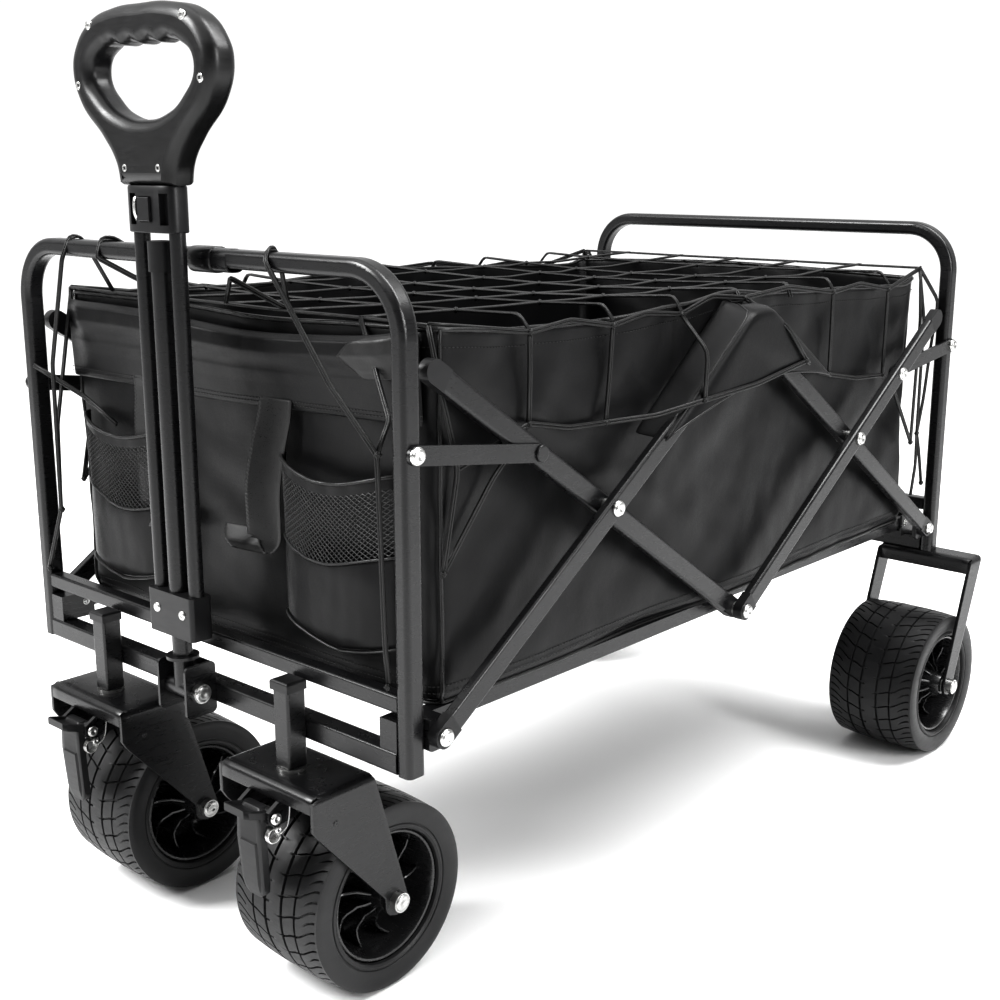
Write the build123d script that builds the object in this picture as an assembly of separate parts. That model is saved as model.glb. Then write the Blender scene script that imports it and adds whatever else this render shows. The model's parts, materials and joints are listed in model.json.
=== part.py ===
"""Folding camp wagon: two tube hoops joined by a two-cell scissor on each side, four wide wheels,
a sliding pull handle, an open fabric bag and an elastic cargo net.

Millimetres. X runs across the wagon, +Y from the pull handle towards the rear, +Z up, ground at z = 0.
Everything is drawn with the front hoop at y = 0 and is moved so that the origin ends on the ground,
under the middle of the parked wagon.
"""
from build123d import *
from math import acos, atan2, cos, degrees, hypot, radians, sin
import os

# ---------------------------------------------------------------- driving dimensions
WIDTH = 550.0            # over the hoops
LENGTH = 923.0           # front hoop to rear hoop, centre to centre, wagon open
HOOP_TOP = 654.0
HOOP_FOOT = 243.0
HOOP_BEND = 52.0         # bend radius of the hoop's centreline
TUBE_ACROSS = 16.0       # hoop tube, measured across the wagon
TUBE_DEEP = 19.0         # hoop tube, measured along the wagon
TUBE_EDGE = 5.0
WALL = 1.5               # steel tube wall
CLEAR = 0.3              # between pieces that move past each other
PIN_CLEAR = 0.05         # radial, pin in a turning hole

CROSSBAR_HIGH = 19.0
FLOOR_BAR_BOTTOM = 295.0
FLOOR_BAR = 15.0

# side scissor
LOWER_PIVOT_Z = 276.0
FRONT_INSET = 18.0       # lower front pivot behind the front hoop
REAR_INSET = 21.0        # lower rear pivot ahead of the rear hoop
SCISSOR_RISE = 298.0     # lower to upper pivots, wagon open
FOLDED_ANGLE = 78.0      # of the links above level, wagon folded
LINK_HIGH = 20.0
LINK_THICK = 10.0
LINK_CAP = 16.0          # pivot to the inner end of a link's cap
WASHER = 3.6             # between an inner and an outer link, a strap's thickness and its clearance
FRONT_LINK_CUT = 9.0     # upper front link stops short of its corner
REAR_LINK_CUT = 52.0     # upper rear link stops short of its corner
RIVET_R = 4.0
RIVET_HEAD_R = 7.5
RIVET_HEAD = 2.5
STRAP_R = 8.0            # half the strap's width
STRAP_THICK = 3.0
STRAP_REACH = 112.0      # from a link crossing up to the strap's rivet

# floor rails
RAIL = 14.0
RAIL_INBOARD = 10.0      # front rail's centre line inside the hoop's inner face
RAIL_PIVOT_Z = 278.0
RAIL_INSET = 20.0
RAIL_STAGGER = 16.0      # the rear rails lie this far inboard of the front ones
RAIL_OVERLAP = 12.0      # how far each rail passes the middle

# wheels
WHEEL_R = 89.0
WHEEL_WIDE = 112.0
SHOULDER = 15.0
RIM_R = 61.0
RIM_WALL = 5.0
HUB_R = 15.0
AXLE_R = 5.0
AXLE_HEAD_R = 9.0
AXLE_HEAD = 7.0
FORK_GAP = 3.0
FORK_PLATE = 4.0

# front castors
CASTOR_X = 139.0
POST = 20.0
POST_TOP = 290.0
CAP_HIGH = 9.0
TRAIL = 62.0
PLATE_TOP = 217.0
PLATE_FRONT = 30.0       # ahead of the kingpin
PLATE_REAR = 38.0        # behind the kingpin
LIP = 14.0
KINGPIN_R = 6.0
KINGPIN_LONG = 45.0
PIN_WASHER = 3.0

# brake, measured from the kingpin
BRAKE_WIDE = 34.0
BRAKE_Y = -36.0
BRAKE_Z = 190.0
BRAKE_PIN_R = 3.0
PEDAL_REACH = 26.0
CHEEK = 4.0

# rear wheels
REAR_WHEEL_X = 268.0
REAR_AXLE_AHEAD = 53.0   # rear axle ahead of the rear hoop
FORK_BAR_HIGH = 20.0
FORK_BAR_DEEP = 30.0

# bag, pockets, webbing, net
BAG_INSET = 14.0         # bag's side inside the hoops' outer faces
BAG_FRONT = 34.0
BAG_REAR = 868.0
BAG_TOP = HOOP_TOP - 54.0
FABRIC = 3.0
POCKET = (95.0, 21.0, 318.0, 470.0)      # x from, end inside the bag's side, z from, z to
POCKET_DEEP = 24.0
WEBBING = ((50.0, 92.0), (-92.0, -52.0))
WEBBING_Z = (385.0, 522.0)
WEBBING_THICK = 2.0
NET_CORD = 4.0
NET_LINES_X = 5
NET_LINES_Y = 7

# pull handle
HANDLE_Y = -28.5
HANDLE_PIVOT_Z = 258.0
POST_TUBE_R = 9.0
SIDE_TUBE_R = 7.0
SIDE_TUBE_X = 25.6
BLOCK = (33.0, 11.5, 310.0, 350.0)       # half width, half depth, z from, z to
SLEEVE_R = 11.0
SLEEVE_Z = (HOOP_TOP - 20.0, HOOP_TOP + 6.0)
HOUSING = (33.0, 13.0, HOOP_TOP + 13.0, HOOP_TOP + 52.0)
GRIP_TOP = HOOP_TOP + 197.0
GRIP_THICK = 30.0
GRIP_NECK_HALF = 37.0
GRIP_OUTLINE = ((45.0, 0.0), (84.0, 17.0), (100.0, 46.0), (89.0, 78.0), (54.0, 109.0))   # half width, below top
GRIP_OPENING = ((50.0, 29.0), (73.0, 48.0), (56.0, 74.0), (0.0, 92.0))                   # half width, below top
GRIP_SCREWS = ((66.0, 13.0), (86.0, 62.0), (24.0, 131.0))                                # half width, below top
SCREW_R = 3.5
YOKE = (22.0, 3.0, 235.0, 284.0)         # half width, plate, z from, z to
PIVOT_BOLT_R = 5.0
LATCH = (8.0, 4.0, 20.0)                 # half width, thickness, height

# ---------------------------------------------------------------- worked out from them
HALF = WIDTH / 2
HOOP_X = HALF - TUBE_ACROSS / 2
INNER_X = HALF - TUBE_ACROSS
RAIL_X = INNER_X - RAIL_INBOARD
BAG_X = HALF - BAG_INSET
HOOP_FACE = TUBE_DEEP / 2
CELL = (LENGTH - FRONT_INSET - REAR_INSET) / 2
LINK_HALF = hypot(CELL, SCISSOR_RISE) / 2
OPEN_ANGLE = degrees(atan2(SCISSOR_RISE, CELL))
UPPER_Z = LOWER_PIVOT_Z + SCISSOR_RISE
CROSS_Z = LOWER_PIVOT_Z + SCISSOR_RISE / 2
MIDDLE_Y = FRONT_INSET + CELL
FRONT_CROSS_Y = FRONT_INSET + CELL / 2
REAR_CROSS_Y = MIDDLE_Y + CELL / 2
REAR_PIVOT_Y = LENGTH - REAR_INSET
INNER_LINK_X = HALF - LINK_THICK          # B and D links, flush with the hoops' outer faces
OUTER_LINK_X = HALF + WASHER              # A and C links
OUTER_FACE_X = OUTER_LINK_X + LINK_THICK
FORK_INNER = WHEEL_WIDE / 2 + FORK_GAP
FORK_OUTER = FORK_INNER + FORK_PLATE
CASTOR_Y = -HOOP_FACE - POST / 2
RAIL_TOP = RAIL_PIVOT_Z + RAIL / 2
BAG_FLOOR = RAIL_TOP + CLEAR
REAR_AXLE_Y = LENGTH - REAR_AXLE_AHEAD


def strap_foot(inset):
    """Height of a strap's fixed end, so that the strap closes with the wagon open and folded."""
    across, rise = LINK_HALF - STRAP_REACH, LINK_HALF + STRAP_REACH
    ends = []
    for angle in (OPEN_ANGLE, FOLDED_ANGLE):
        ends.append((across * cos(radians(angle)) + inset, rise * sin(radians(angle))))
    (y0, z0), (y1, z1) = ends
    return LOWER_PIVOT_Z + (y1 ** 2 + z1 ** 2 - y0 ** 2 - z0 ** 2) / (2 * (z1 - z0))


FRONT_STRAP_Z = strap_foot(FRONT_INSET)
REAR_STRAP_Z = strap_foot(REAR_INSET)
STRAP_RIVET_Z = CROSS_Z + STRAP_REACH * sin(radians(OPEN_ANGLE))
STRAP_ACROSS = STRAP_REACH * cos(radians(OPEN_ANGLE))
FRONT_STRAP_Y = FRONT_CROSS_Y - STRAP_ACROSS
REAR_STRAP_Y = REAR_CROSS_Y + STRAP_ACROSS


# ---------------------------------------------------------------- building helpers
def block(x0, x1, y0, y1, z0, z1, edge=0.0, axis=None):
    """A box between its limits; edge rounds the edges along one axis."""
    body = Pos((x0 + x1) / 2, (y0 + y1) / 2, (z0 + z1) / 2) * Box(abs(x1 - x0), abs(y1 - y0), abs(z1 - z0))
    if edge:
        body = fillet(body.edges().filter_by(axis), edge)
    return body


def rod_x(x0, x1, y, z, r):
    return Pos((x0 + x1) / 2, y, z) * Rot(0, 90, 0) * Cylinder(r, abs(x1 - x0))


def rod_y(x, y0, y1, z, r):
    return Pos(x, (y0 + y1) / 2, z) * Rot(90, 0, 0) * Cylinder(r, abs(y1 - y0))


def rod_z(x, y, z0, z1, r):
    return Pos(x, y, (z0 + z1) / 2) * Cylinder(r, z1 - z0)


def plate_x(points, x0, x1):
    """A flat plate with its outline in Y and Z, from x0 to x1."""
    face = make_face(Polyline(*[(x0, y, z) for y, z in points], close=True))
    return extrude(face, amount=x1 - x0, dir=(1, 0, 0))


def tube(x0, x1, y0, y1, z0, z1, edge, axis):
    """A hollow box-section tube, open at both ends along axis."""
    outer = block(x0, x1, y0, y1, z0, z1, edge, axis)
    wall = {Axis.X: (0, WALL, WALL), Axis.Y: (WALL, 0, WALL), Axis.Z: (WALL, WALL, 0)}[axis]
    dx, dy, dz = wall
    return outer - block(x0 + dx, x1 - dx, y0 + dy, y1 - dy, z0 + dz, z1 - dz, edge - WALL, axis)


def rivet(x0, x1, y, z, r=RIVET_R, inner_head=True):
    """A rivet across the wagon: shank from x0 to x1, a domed head outside and a flat one inside."""
    body = rod_x(x0, x1, y, z, r)
    head = rod_x(x1, x1 + RIVET_HEAD, y, z, RIVET_HEAD_R)
    body += fillet(head.edges().sort_by(Axis.X)[-1], RIVET_HEAD * 0.6)
    if inner_head:
        body += rod_x(x0 - RIVET_HEAD, x0, y, z, RIVET_HEAD_R)
    return body


nodes = {}


def both_sides(pieces):
    return list(pieces) + [mirror(piece, about=Plane.YZ) for piece in pieces]


def node(name, *pieces):
    solids = []
    for piece in pieces:
        solids += piece.solids()
    nodes[name] = solids


# ---------------------------------------------------------------- hoops and what is welded to them
def hoop(y):
    """One bent tube: up, across and down again, with its ends open."""
    corners = [(-HOOP_X, y, HOOP_FOOT), (-HOOP_X, y, HOOP_TOP - TUBE_ACROSS / 2),
               (HOOP_X, y, HOOP_TOP - TUBE_ACROSS / 2), (HOOP_X, y, HOOP_FOOT)]
    path = FilletPolyline(*corners, radius=HOOP_BEND)
    outline = Plane(origin=corners[0], x_dir=(1, 0, 0), z_dir=(0, 0, 1))
    section = RectangleRounded(TUBE_ACROSS, TUBE_DEEP, TUBE_EDGE)
    section -= RectangleRounded(TUBE_ACROSS - 2 * WALL, TUBE_DEEP - 2 * WALL, TUBE_EDGE - WALL)
    return sweep(outline * section, path=path)


def foot_plug(y):
    """Plastic plug pressed into a hoop's foot."""
    plug = Pos(HOOP_X, y, HOOP_FOOT + 6) * extrude(
        RectangleRounded(TUBE_ACROSS - 2 * WALL, TUBE_DEEP - 2 * WALL, TUBE_EDGE - WALL), 6, both=True)
    return plug


def end_brackets(y, facing, inset, plate_x0, plate_x1):
    """Lower link bracket and floor rail bracket on the right upright. facing is +1 towards the rear."""
    reach = inset + 12.0
    near, far = sorted((y + facing * HOOP_FACE, y + facing * reach))
    link_plate = block(plate_x0, plate_x1, near, far, LOWER_PIVOT_Z - 14, LOWER_PIVOT_Z + 14, 4, Axis.X)
    pivot_y = y + facing * RAIL_INSET
    centre_x = rail_x(facing)
    half = RAIL / 2 + CLEAR + 2.5
    low, high = sorted((y - facing * 8, pivot_y + facing * 9))
    channel = block(centre_x - half, centre_x + half, low, high, HOOP_FOOT + CROSSBAR_HIGH, RAIL_TOP + 3)
    slot_low, slot_high = sorted((y + facing * (HOOP_FACE + 1), pivot_y + facing * 10))
    slot = RAIL / 2 + CLEAR
    channel -= block(centre_x - slot, centre_x + slot, slot_low, slot_high, RAIL_PIVOT_Z - RAIL / 2 - 3, RAIL_TOP + 4)
    channel -= rod_x(centre_x - half - 1, centre_x + half + 1, pivot_y, RAIL_PIVOT_Z, RIVET_R)
    link_plate -= rod_x(plate_x0 - 1, plate_x1 + 1, y + facing * inset, LOWER_PIVOT_Z, RIVET_R)
    return link_plate, channel


def rail_x(facing):
    return RAIL_X if facing > 0 else RAIL_X - RAIL_STAGGER


def rail_pin(y, facing):
    half = RAIL / 2 + CLEAR + 2.5
    centre = rail_x(facing)
    return rod_x(centre - half, centre + half, y + facing * RAIL_INSET, RAIL_PIVOT_Z, RIVET_R)


STRAP_FACE_X = HALF + CLEAR
strap_pins = {0.0: FRONT_STRAP_Z, LENGTH: REAR_STRAP_Z}


def strap_pin(y):
    """Shouldered rivet that holds a strap's fixed end on the hoop's outer face."""
    return rivet(HALF - 12, STRAP_FACE_X + STRAP_THICK + 0.2, y, strap_pins[y], inner_head=False)


def hoop_with_pins(y):
    body = hoop(y)
    for side in (-1, 1):
        x0, x1 = sorted((side * (HALF - 12), side * (HALF + 1)))
        body -= rod_x(x0, x1, y, strap_pins[y], RIVET_R)
    return body


def cross_tubes(y):
    lower = tube(-INNER_X, INNER_X, y - HOOP_FACE, y + HOOP_FACE, HOOP_FOOT, HOOP_FOOT + CROSSBAR_HIGH, 2.5, Axis.X)
    upper = tube(-INNER_X, INNER_X, y - FLOOR_BAR / 2, y + FLOOR_BAR / 2, FLOOR_BAR_BOTTOM,
                 FLOOR_BAR_BOTTOM + FLOOR_BAR, 2.5, Axis.X)
    return lower, upper


node("front_hoop", hoop_with_pins(0.0))
node("front_cross_tubes", *cross_tubes(0.0))
front_plate = (INNER_X, OUTER_LINK_X - 0.2)
node("front_brackets", *both_sides(end_brackets(0.0, 1, FRONT_INSET, *front_plate)))
front_rivet = rivet(front_plate[0], OUTER_FACE_X + 0.2, FRONT_INSET, LOWER_PIVOT_Z, inner_head=False)
node("front_rivets", *both_sides([front_rivet, strap_pin(0.0), rail_pin(0.0, 1)]))

node("rear_hoop", hoop_with_pins(LENGTH))
node("rear_cross_tubes", *cross_tubes(LENGTH))
rear_plate = (INNER_X, INNER_LINK_X - CLEAR)
node("rear_brackets", *both_sides(end_brackets(LENGTH, -1, REAR_INSET, *rear_plate)))
rear_rivet = rivet(rear_plate[0], HALF + 0.2, REAR_PIVOT_Y, LOWER_PIVOT_Z, inner_head=False)
node("rear_rivets", *both_sides([rear_rivet, strap_pin(LENGTH), rail_pin(LENGTH, -1)]))

# castor posts stand on the front face of the lower cross tube
post_low = PLATE_TOP + PIN_WASHER + CLEAR
posts, bushes, plugs = [], [], []
for side in (-1, 1):
    x = side * CASTOR_X
    half = POST / 2
    inner = half - WALL
    posts.append(tube(x - half, x + half, CASTOR_Y - half, CASTOR_Y + half, post_low, POST_TOP, 2.5, Axis.Z))
    bush = block(x - inner, x + inner, CASTOR_Y - inner, CASTOR_Y + inner, post_low, post_low + KINGPIN_LONG - 4,
                 1.0, Axis.Z)
    bushes.append(bush - rod_z(x, CASTOR_Y, post_low - 1, post_low + KINGPIN_LONG, KINGPIN_R + PIN_CLEAR))
    cap = block(x - half - 1.5, x + half + 1.5, CASTOR_Y - half - 1.5, CASTOR_Y + half, POST_TOP, POST_TOP + CAP_HIGH)
    plugs.append(fillet(cap.edges().group_by(Axis.Z)[-1], 2.5))
node("castor_posts", *posts)
node("castor_bushes", *bushes)
node("front_plugs", *plugs, *both_sides([foot_plug(0.0)]))


# ---------------------------------------------------------------- side scissor
def link(y0, z0, y1, z1, x0, holes, cut0=0.0, cut1=0.0):
    """A link between two pivots: a hollow tube and a moulded cap on each end.

    holes is a list of (distance from the first pivot, radius). cut0 and cut1 shorten the ends.
    """
    long = hypot(y1 - y0, z1 - z0)
    angle = degrees(atan2(z1 - z0, y1 - y0))
    half = LINK_HIGH / 2
    start, stop = cut0 + LINK_CAP, long - cut1 - LINK_CAP
    body = tube(x0, x0 + LINK_THICK, start, stop, -half, half, 3.0, Axis.Y)
    caps = []
    for centre, inner in ((cut0, start), (long - cut1, stop)):
        cap = rod_x(x0, x0 + LINK_THICK, centre, 0, half)
        cap += block(x0, x0 + LINK_THICK, *sorted((centre, inner)), -half, half)
        caps.append(cap)
    for where, r in holes:
        bore = rod_x(x0 - 1, x0 + LINK_THICK + 1, where, 0, r)
        body -= bore
        caps = [cap - bore for cap in caps]
    place = Pos(0, y0, z0) * Rot(angle, 0, 0)
    return place * body, [place * cap for cap in caps]


TIGHT = RIVET_R
LOOSE = RIVET_R + PIN_CLEAR
SPAN = 2 * LINK_HALF
PIN_INNER_X = INNER_LINK_X - 0.2
PIN_OUTER_X = OUTER_FACE_X + 0.2

link_a, caps_a = link(FRONT_INSET, LOWER_PIVOT_Z, MIDDLE_Y, UPPER_Z, OUTER_LINK_X,
                      [(0, LOOSE), (LINK_HALF, TIGHT), (SPAN, TIGHT)])
link_b, caps_b = link(MIDDLE_Y, LOWER_PIVOT_Z, FRONT_INSET, UPPER_Z, INNER_LINK_X,
                      [(0, LOOSE), (LINK_HALF, LOOSE)], cut1=FRONT_LINK_CUT)
link_c, caps_c = link(MIDDLE_Y, LOWER_PIVOT_Z, REAR_PIVOT_Y, UPPER_Z, OUTER_LINK_X,
                      [(0, TIGHT), (LINK_HALF, TIGHT), (LINK_HALF + STRAP_REACH, TIGHT)], cut1=REAR_LINK_CUT)
link_d, caps_d = link(REAR_PIVOT_Y, LOWER_PIVOT_Z, MIDDLE_Y, UPPER_Z, INNER_LINK_X,
                      [(0, LOOSE), (LINK_HALF, LOOSE), (SPAN, LOOSE)])


def crossing_pin(y, z):
    """Rivet through an inner and an outer link, with the washer that spaces them."""
    washer = rod_x(HALF + 0.2, OUTER_LINK_X, y, z, RIVET_HEAD_R) - rod_x(HALF, OUTER_LINK_X + 1, y, z, RIVET_R)
    return [rivet(PIN_INNER_X, PIN_OUTER_X, y, z), washer]


for letter, body, caps in (("a", link_a, caps_a), ("b", link_b, caps_b), ("c", link_c, caps_c), ("d", link_d, caps_d)):
    node(f"link_{letter}_tubes", *both_sides([body]))
    node(f"link_{letter}_caps", *both_sides(caps))
node("front_link_rivets", *both_sides(crossing_pin(FRONT_CROSS_Y, CROSS_Z) + crossing_pin(MIDDLE_Y, UPPER_Z)))
rear_button = rivet(OUTER_LINK_X, PIN_OUTER_X, REAR_STRAP_Y, STRAP_RIVET_Z, inner_head=False)
rear_pins = crossing_pin(MIDDLE_Y, LOWER_PIVOT_Z) + crossing_pin(REAR_CROSS_Y, CROSS_Z)
node("rear_link_rivets", *both_sides(rear_pins + [rear_button]))


def strap(y0, z0, y1, z1):
    """Flat strap with round ends, with a hole at its first end for its pin."""
    long = hypot(y1 - y0, z1 - z0)
    x0, x1 = STRAP_FACE_X, STRAP_FACE_X + STRAP_THICK
    bar = rod_x(x0, x1, 0, 0, STRAP_R) + rod_x(x0, x1, long, 0, STRAP_R) + block(x0, x1, 0, long, -STRAP_R, STRAP_R)
    bar -= rod_x(x0 - 1, x1 + 1, 0, 0, LOOSE)
    return Pos(0, y0, z0) * Rot(degrees(atan2(z1 - z0, y1 - y0)), 0, 0) * bar


# the front straps lie outside the inner links and carry a rivet; the rear ones lie behind the outer links
front_button = rivet(STRAP_FACE_X, STRAP_FACE_X + STRAP_THICK, FRONT_STRAP_Y, STRAP_RIVET_Z, inner_head=False)
front_strap = strap(0.0, FRONT_STRAP_Z, FRONT_STRAP_Y, STRAP_RIVET_Z)
front_strap -= rod_x(HALF, OUTER_FACE_X, FRONT_STRAP_Y, STRAP_RIVET_Z, RIVET_R)
node("front_straps", *both_sides([front_strap, front_button]))
node("rear_straps", *both_sides([strap(LENGTH, REAR_STRAP_Z, REAR_STRAP_Y, STRAP_RIVET_Z)]))


# ---------------------------------------------------------------- floor rails
def rail(y, facing):
    """A floor rail from its pivot at one end of the wagon to just past the middle."""
    half = RAIL / 2
    x = rail_x(facing)
    pivot = y + facing * RAIL_INSET
    low, high = sorted((pivot, LENGTH / 2 + facing * RAIL_OVERLAP))
    body = block(x - half, x + half, low, high, RAIL_PIVOT_Z - half, RAIL_PIVOT_Z + half)
    body += rod_x(x - half, x + half, pivot, RAIL_PIVOT_Z, half)
    return body - rod_x(x - half - 1, x + half + 1, pivot, RAIL_PIVOT_Z, LOOSE)


node("front_floor_rails", *both_sides([rail(0.0, 1)]))
node("rear_floor_rails", *both_sides([rail(LENGTH, -1)]))


# ---------------------------------------------------------------- wheels, axles and forks
def wheel_at(x, y):
    """Tyre and deep-dished rim on a hub, turning about X."""
    half = WHEEL_WIDE / 2
    outer = fillet((Rot(0, 90, 0) * Cylinder(WHEEL_R, WHEEL_WIDE)).edges(), SHOULDER)
    tyre = outer - Rot(0, 90, 0) * Cylinder(RIM_R, WHEEL_WIDE + 2)
    rim = Rot(0, 90, 0) * (Cylinder(RIM_R, WHEEL_WIDE - 12) - Cylinder(RIM_R - RIM_WALL, WHEEL_WIDE))
    rim += Rot(0, 90, 0) * Cylinder(RIM_R - RIM_WALL / 2, 10)
    rim += Rot(0, 90, 0) * Cylinder(HUB_R, 2 * half)
    rim -= Rot(0, 90, 0) * Cylinder(AXLE_R + PIN_CLEAR, WHEEL_WIDE + 2)
    place = Pos(x, y, WHEEL_R)
    return place * tyre, place * rim


def axle_at(x, y):
    """Axle bolt with its head, nut and the two washers that take up the gap beside the hub."""
    bolt = rod_x(x - FORK_OUTER, x + FORK_OUTER, y, WHEEL_R, AXLE_R)
    for side in (-1, 1):
        x0, x1 = sorted((x + side * FORK_OUTER, x + side * (FORK_OUTER + AXLE_HEAD)))
        bolt += rod_x(x0, x1, y, WHEEL_R, AXLE_HEAD_R)
        w0, w1 = sorted((x + side * (WHEEL_WIDE / 2 + CLEAR), x + side * FORK_INNER))
        bolt += rod_x(w0, w1, y, WHEEL_R, AXLE_HEAD_R)
    return bolt


def castor_fork(x):
    """Bent sheet fork: flat top with a turned-down front lip and two legs that taper back to the axle."""
    front, rear = CASTOR_Y - PLATE_FRONT, CASTOR_Y + PLATE_REAR
    axle_y = CASTOR_Y + TRAIL
    low = PLATE_TOP - FORK_PLATE
    top = block(x - FORK_OUTER, x + FORK_OUTER, front, rear, low, PLATE_TOP)
    top += block(x - FORK_OUTER, x + FORK_OUTER, front, front + FORK_PLATE, PLATE_TOP - LIP, PLATE_TOP)
    foot = 14.0
    outline = [(front, PLATE_TOP), (front, PLATE_TOP - 30), (axle_y - foot * 0.8, WHEEL_R - foot * 0.6),
               (axle_y + foot * 0.95, WHEEL_R + foot * 0.3), (rear, PLATE_TOP)]
    for inner, outer in ((-FORK_OUTER, -FORK_INNER), (FORK_INNER, FORK_OUTER)):
        top += plate_x(outline, x + inner, x + outer)
        top += rod_x(x + inner, x + outer, axle_y, WHEEL_R, foot)
    top -= rod_x(x - FORK_OUTER - 1, x + FORK_OUTER + 1, axle_y, WHEEL_R, AXLE_R)
    return top - rod_z(x, CASTOR_Y, low - 1, PLATE_TOP + 1, KINGPIN_R)


def kingpin(x):
    low = PLATE_TOP - FORK_PLATE
    pin = rod_z(x, CASTOR_Y, low - 5, PLATE_TOP + PIN_WASHER + KINGPIN_LONG - 6, KINGPIN_R)
    pin += rod_z(x, CASTOR_Y, low - 6, low, 10)
    return pin + rod_z(x, CASTOR_Y, PLATE_TOP, PLATE_TOP + PIN_WASHER, 13)


def brake_bracket(x):
    """Two cheeks under the fork's front lip, with the pedal's pin across them."""
    y = CASTOR_Y + BRAKE_Y
    front = CASTOR_Y - PLATE_FRONT + FORK_PLATE
    top = PLATE_TOP - FORK_PLATE
    lip = PLATE_TOP - LIP
    outline = [(front, top), (front + 14, top), (front + 14, BRAKE_Z - 5), (y + 4, BRAKE_Z - 8), (y - 7, BRAKE_Z - 4),
               (y - 7, BRAKE_Z + 6), (front - FORK_PLATE - 2, lip - CLEAR), (front, lip - CLEAR)]
    half = BRAKE_WIDE / 2
    cheeks = [plate_x(outline, x - half - CHEEK, x - half), plate_x(outline, x + half, x + half + CHEEK)]
    bore = rod_x(x - half - CHEEK - 1, x + half + CHEEK + 1, y, BRAKE_Z, BRAKE_PIN_R)
    pin = rod_x(x - half - CHEEK, x + half + CHEEK, y, BRAKE_Z, BRAKE_PIN_R)
    pin += rod_x(x + half + CHEEK, x + half + CHEEK + 2.5, y, BRAKE_Z, 5.5)
    pin += rod_x(x - half - CHEEK - 2.5, x - half - CHEEK, y, BRAKE_Z, 5.5)
    return [cheek - bore for cheek in cheeks] + [pin]


def brake_pedal(x):
    """Rocking pedal: a foot tab out in front and a shoe that swings back against the tread."""
    y = CASTOR_Y + BRAKE_Y
    half = BRAKE_WIDE / 2 - CLEAR
    pedal = rod_x(x - half, x + half, y, BRAKE_Z, 7)
    tab = [(y, BRAKE_Z + 7), (y - PEDAL_REACH + 2, BRAKE_Z + 14), (y - PEDAL_REACH, BRAKE_Z + 7), (y - 5, BRAKE_Z - 4)]
    shoe = [(y - 7, BRAKE_Z + 2), (y - 9, BRAKE_Z - 12), (y - 9, BRAKE_Z - 75), (y - 2, BRAKE_Z - 75),
            (y - 2, BRAKE_Z - 12), (y + 3, BRAKE_Z - 4)]
    pedal += plate_x(tab, x - half, x + half)
    pedal += plate_x(shoe, x - half, x + half)
    return pedal - rod_x(x - half - 1, x + half + 1, y, BRAKE_Z, BRAKE_PIN_R + PIN_CLEAR)


for name, side in (("right", 1), ("left", -1)):
    x = side * CASTOR_X
    tyre, rim = wheel_at(x, CASTOR_Y + TRAIL)
    node(f"castor_fork_{name}", castor_fork(x))
    node(f"kingpin_{name}", kingpin(x))
    node(f"front_axle_{name}", axle_at(x, CASTOR_Y + TRAIL))
    node(f"brake_bracket_{name}", *brake_bracket(x))
    node(f"brake_pedal_{name}", brake_pedal(x))
    node(f"front_tyre_{name}", tyre)
    node(f"front_rim_{name}", rim)
    tyre, rim = wheel_at(side * REAR_WHEEL_X, REAR_AXLE_Y)
    node(f"rear_tyre_{name}", tyre)
    node(f"rear_rim_{name}", rim)


def rear_fork(x):
    """A square bar under the hoop's foot with a flat leg slanting forward to the axle at each end."""
    low = HOOP_FOOT - FORK_BAR_HIGH
    front, rear = LENGTH - HOOP_FACE - 2, LENGTH - HOOP_FACE - 2 + FORK_BAR_DEEP
    bar = block(x - FORK_OUTER, x + FORK_OUTER, front, rear, low, HOOP_FOOT, 3, Axis.X)
    foot = 12.0
    outline = [(front, HOOP_FOOT), (REAR_AXLE_Y - foot, WHEEL_R + foot * 0.4), (REAR_AXLE_Y + foot, WHEEL_R - foot * 0.1),
               (rear, low), (rear, HOOP_FOOT - 4), (rear - 4, HOOP_FOOT)]
    for inner, outer in ((-FORK_OUTER, -FORK_INNER), (FORK_INNER, FORK_OUTER)):
        bar += plate_x(outline, x + inner, x + outer)
        bar += rod_x(x + inner, x + outer, REAR_AXLE_Y, WHEEL_R, foot)
    return bar - rod_x(x - FORK_OUTER - 1, x + FORK_OUTER + 1, REAR_AXLE_Y, WHEEL_R, AXLE_R)


node("rear_forks", *both_sides([rear_fork(REAR_WHEEL_X)]))
node("rear_axles", *both_sides([axle_at(REAR_WHEEL_X, REAR_AXLE_Y)]))


# ---------------------------------------------------------------- bag, pockets, webbing and cargo net
bag = block(-BAG_X, BAG_X, BAG_FRONT, BAG_REAR, BAG_FLOOR, BAG_TOP)
bag -= block(-BAG_X + FABRIC, BAG_X - FABRIC, BAG_FRONT + FABRIC, BAG_REAR - FABRIC, BAG_FLOOR + FABRIC, BAG_TOP + 1)
node("bag", bag)

pocket_x0, pocket_inset, pocket_z0, pocket_z1 = POCKET
pocket_x1 = BAG_X - pocket_inset
pocket = block(pocket_x0, pocket_x1, BAG_FRONT - POCKET_DEEP, BAG_FRONT, pocket_z0, pocket_z1, 8, Axis.Z)
pocket -= block(pocket_x0 + FABRIC, pocket_x1 - FABRIC, BAG_FRONT - POCKET_DEEP + FABRIC, BAG_FRONT + 1,
                pocket_z0 + FABRIC, pocket_z1 + 1)
node("front_pockets", *both_sides([pocket]))

strips = []
for x0, x1 in WEBBING:
    strips.append(block(x0, x1, BAG_FRONT - WEBBING_THICK, BAG_FRONT, *WEBBING_Z))
node("webbing_straps", *strips)

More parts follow.
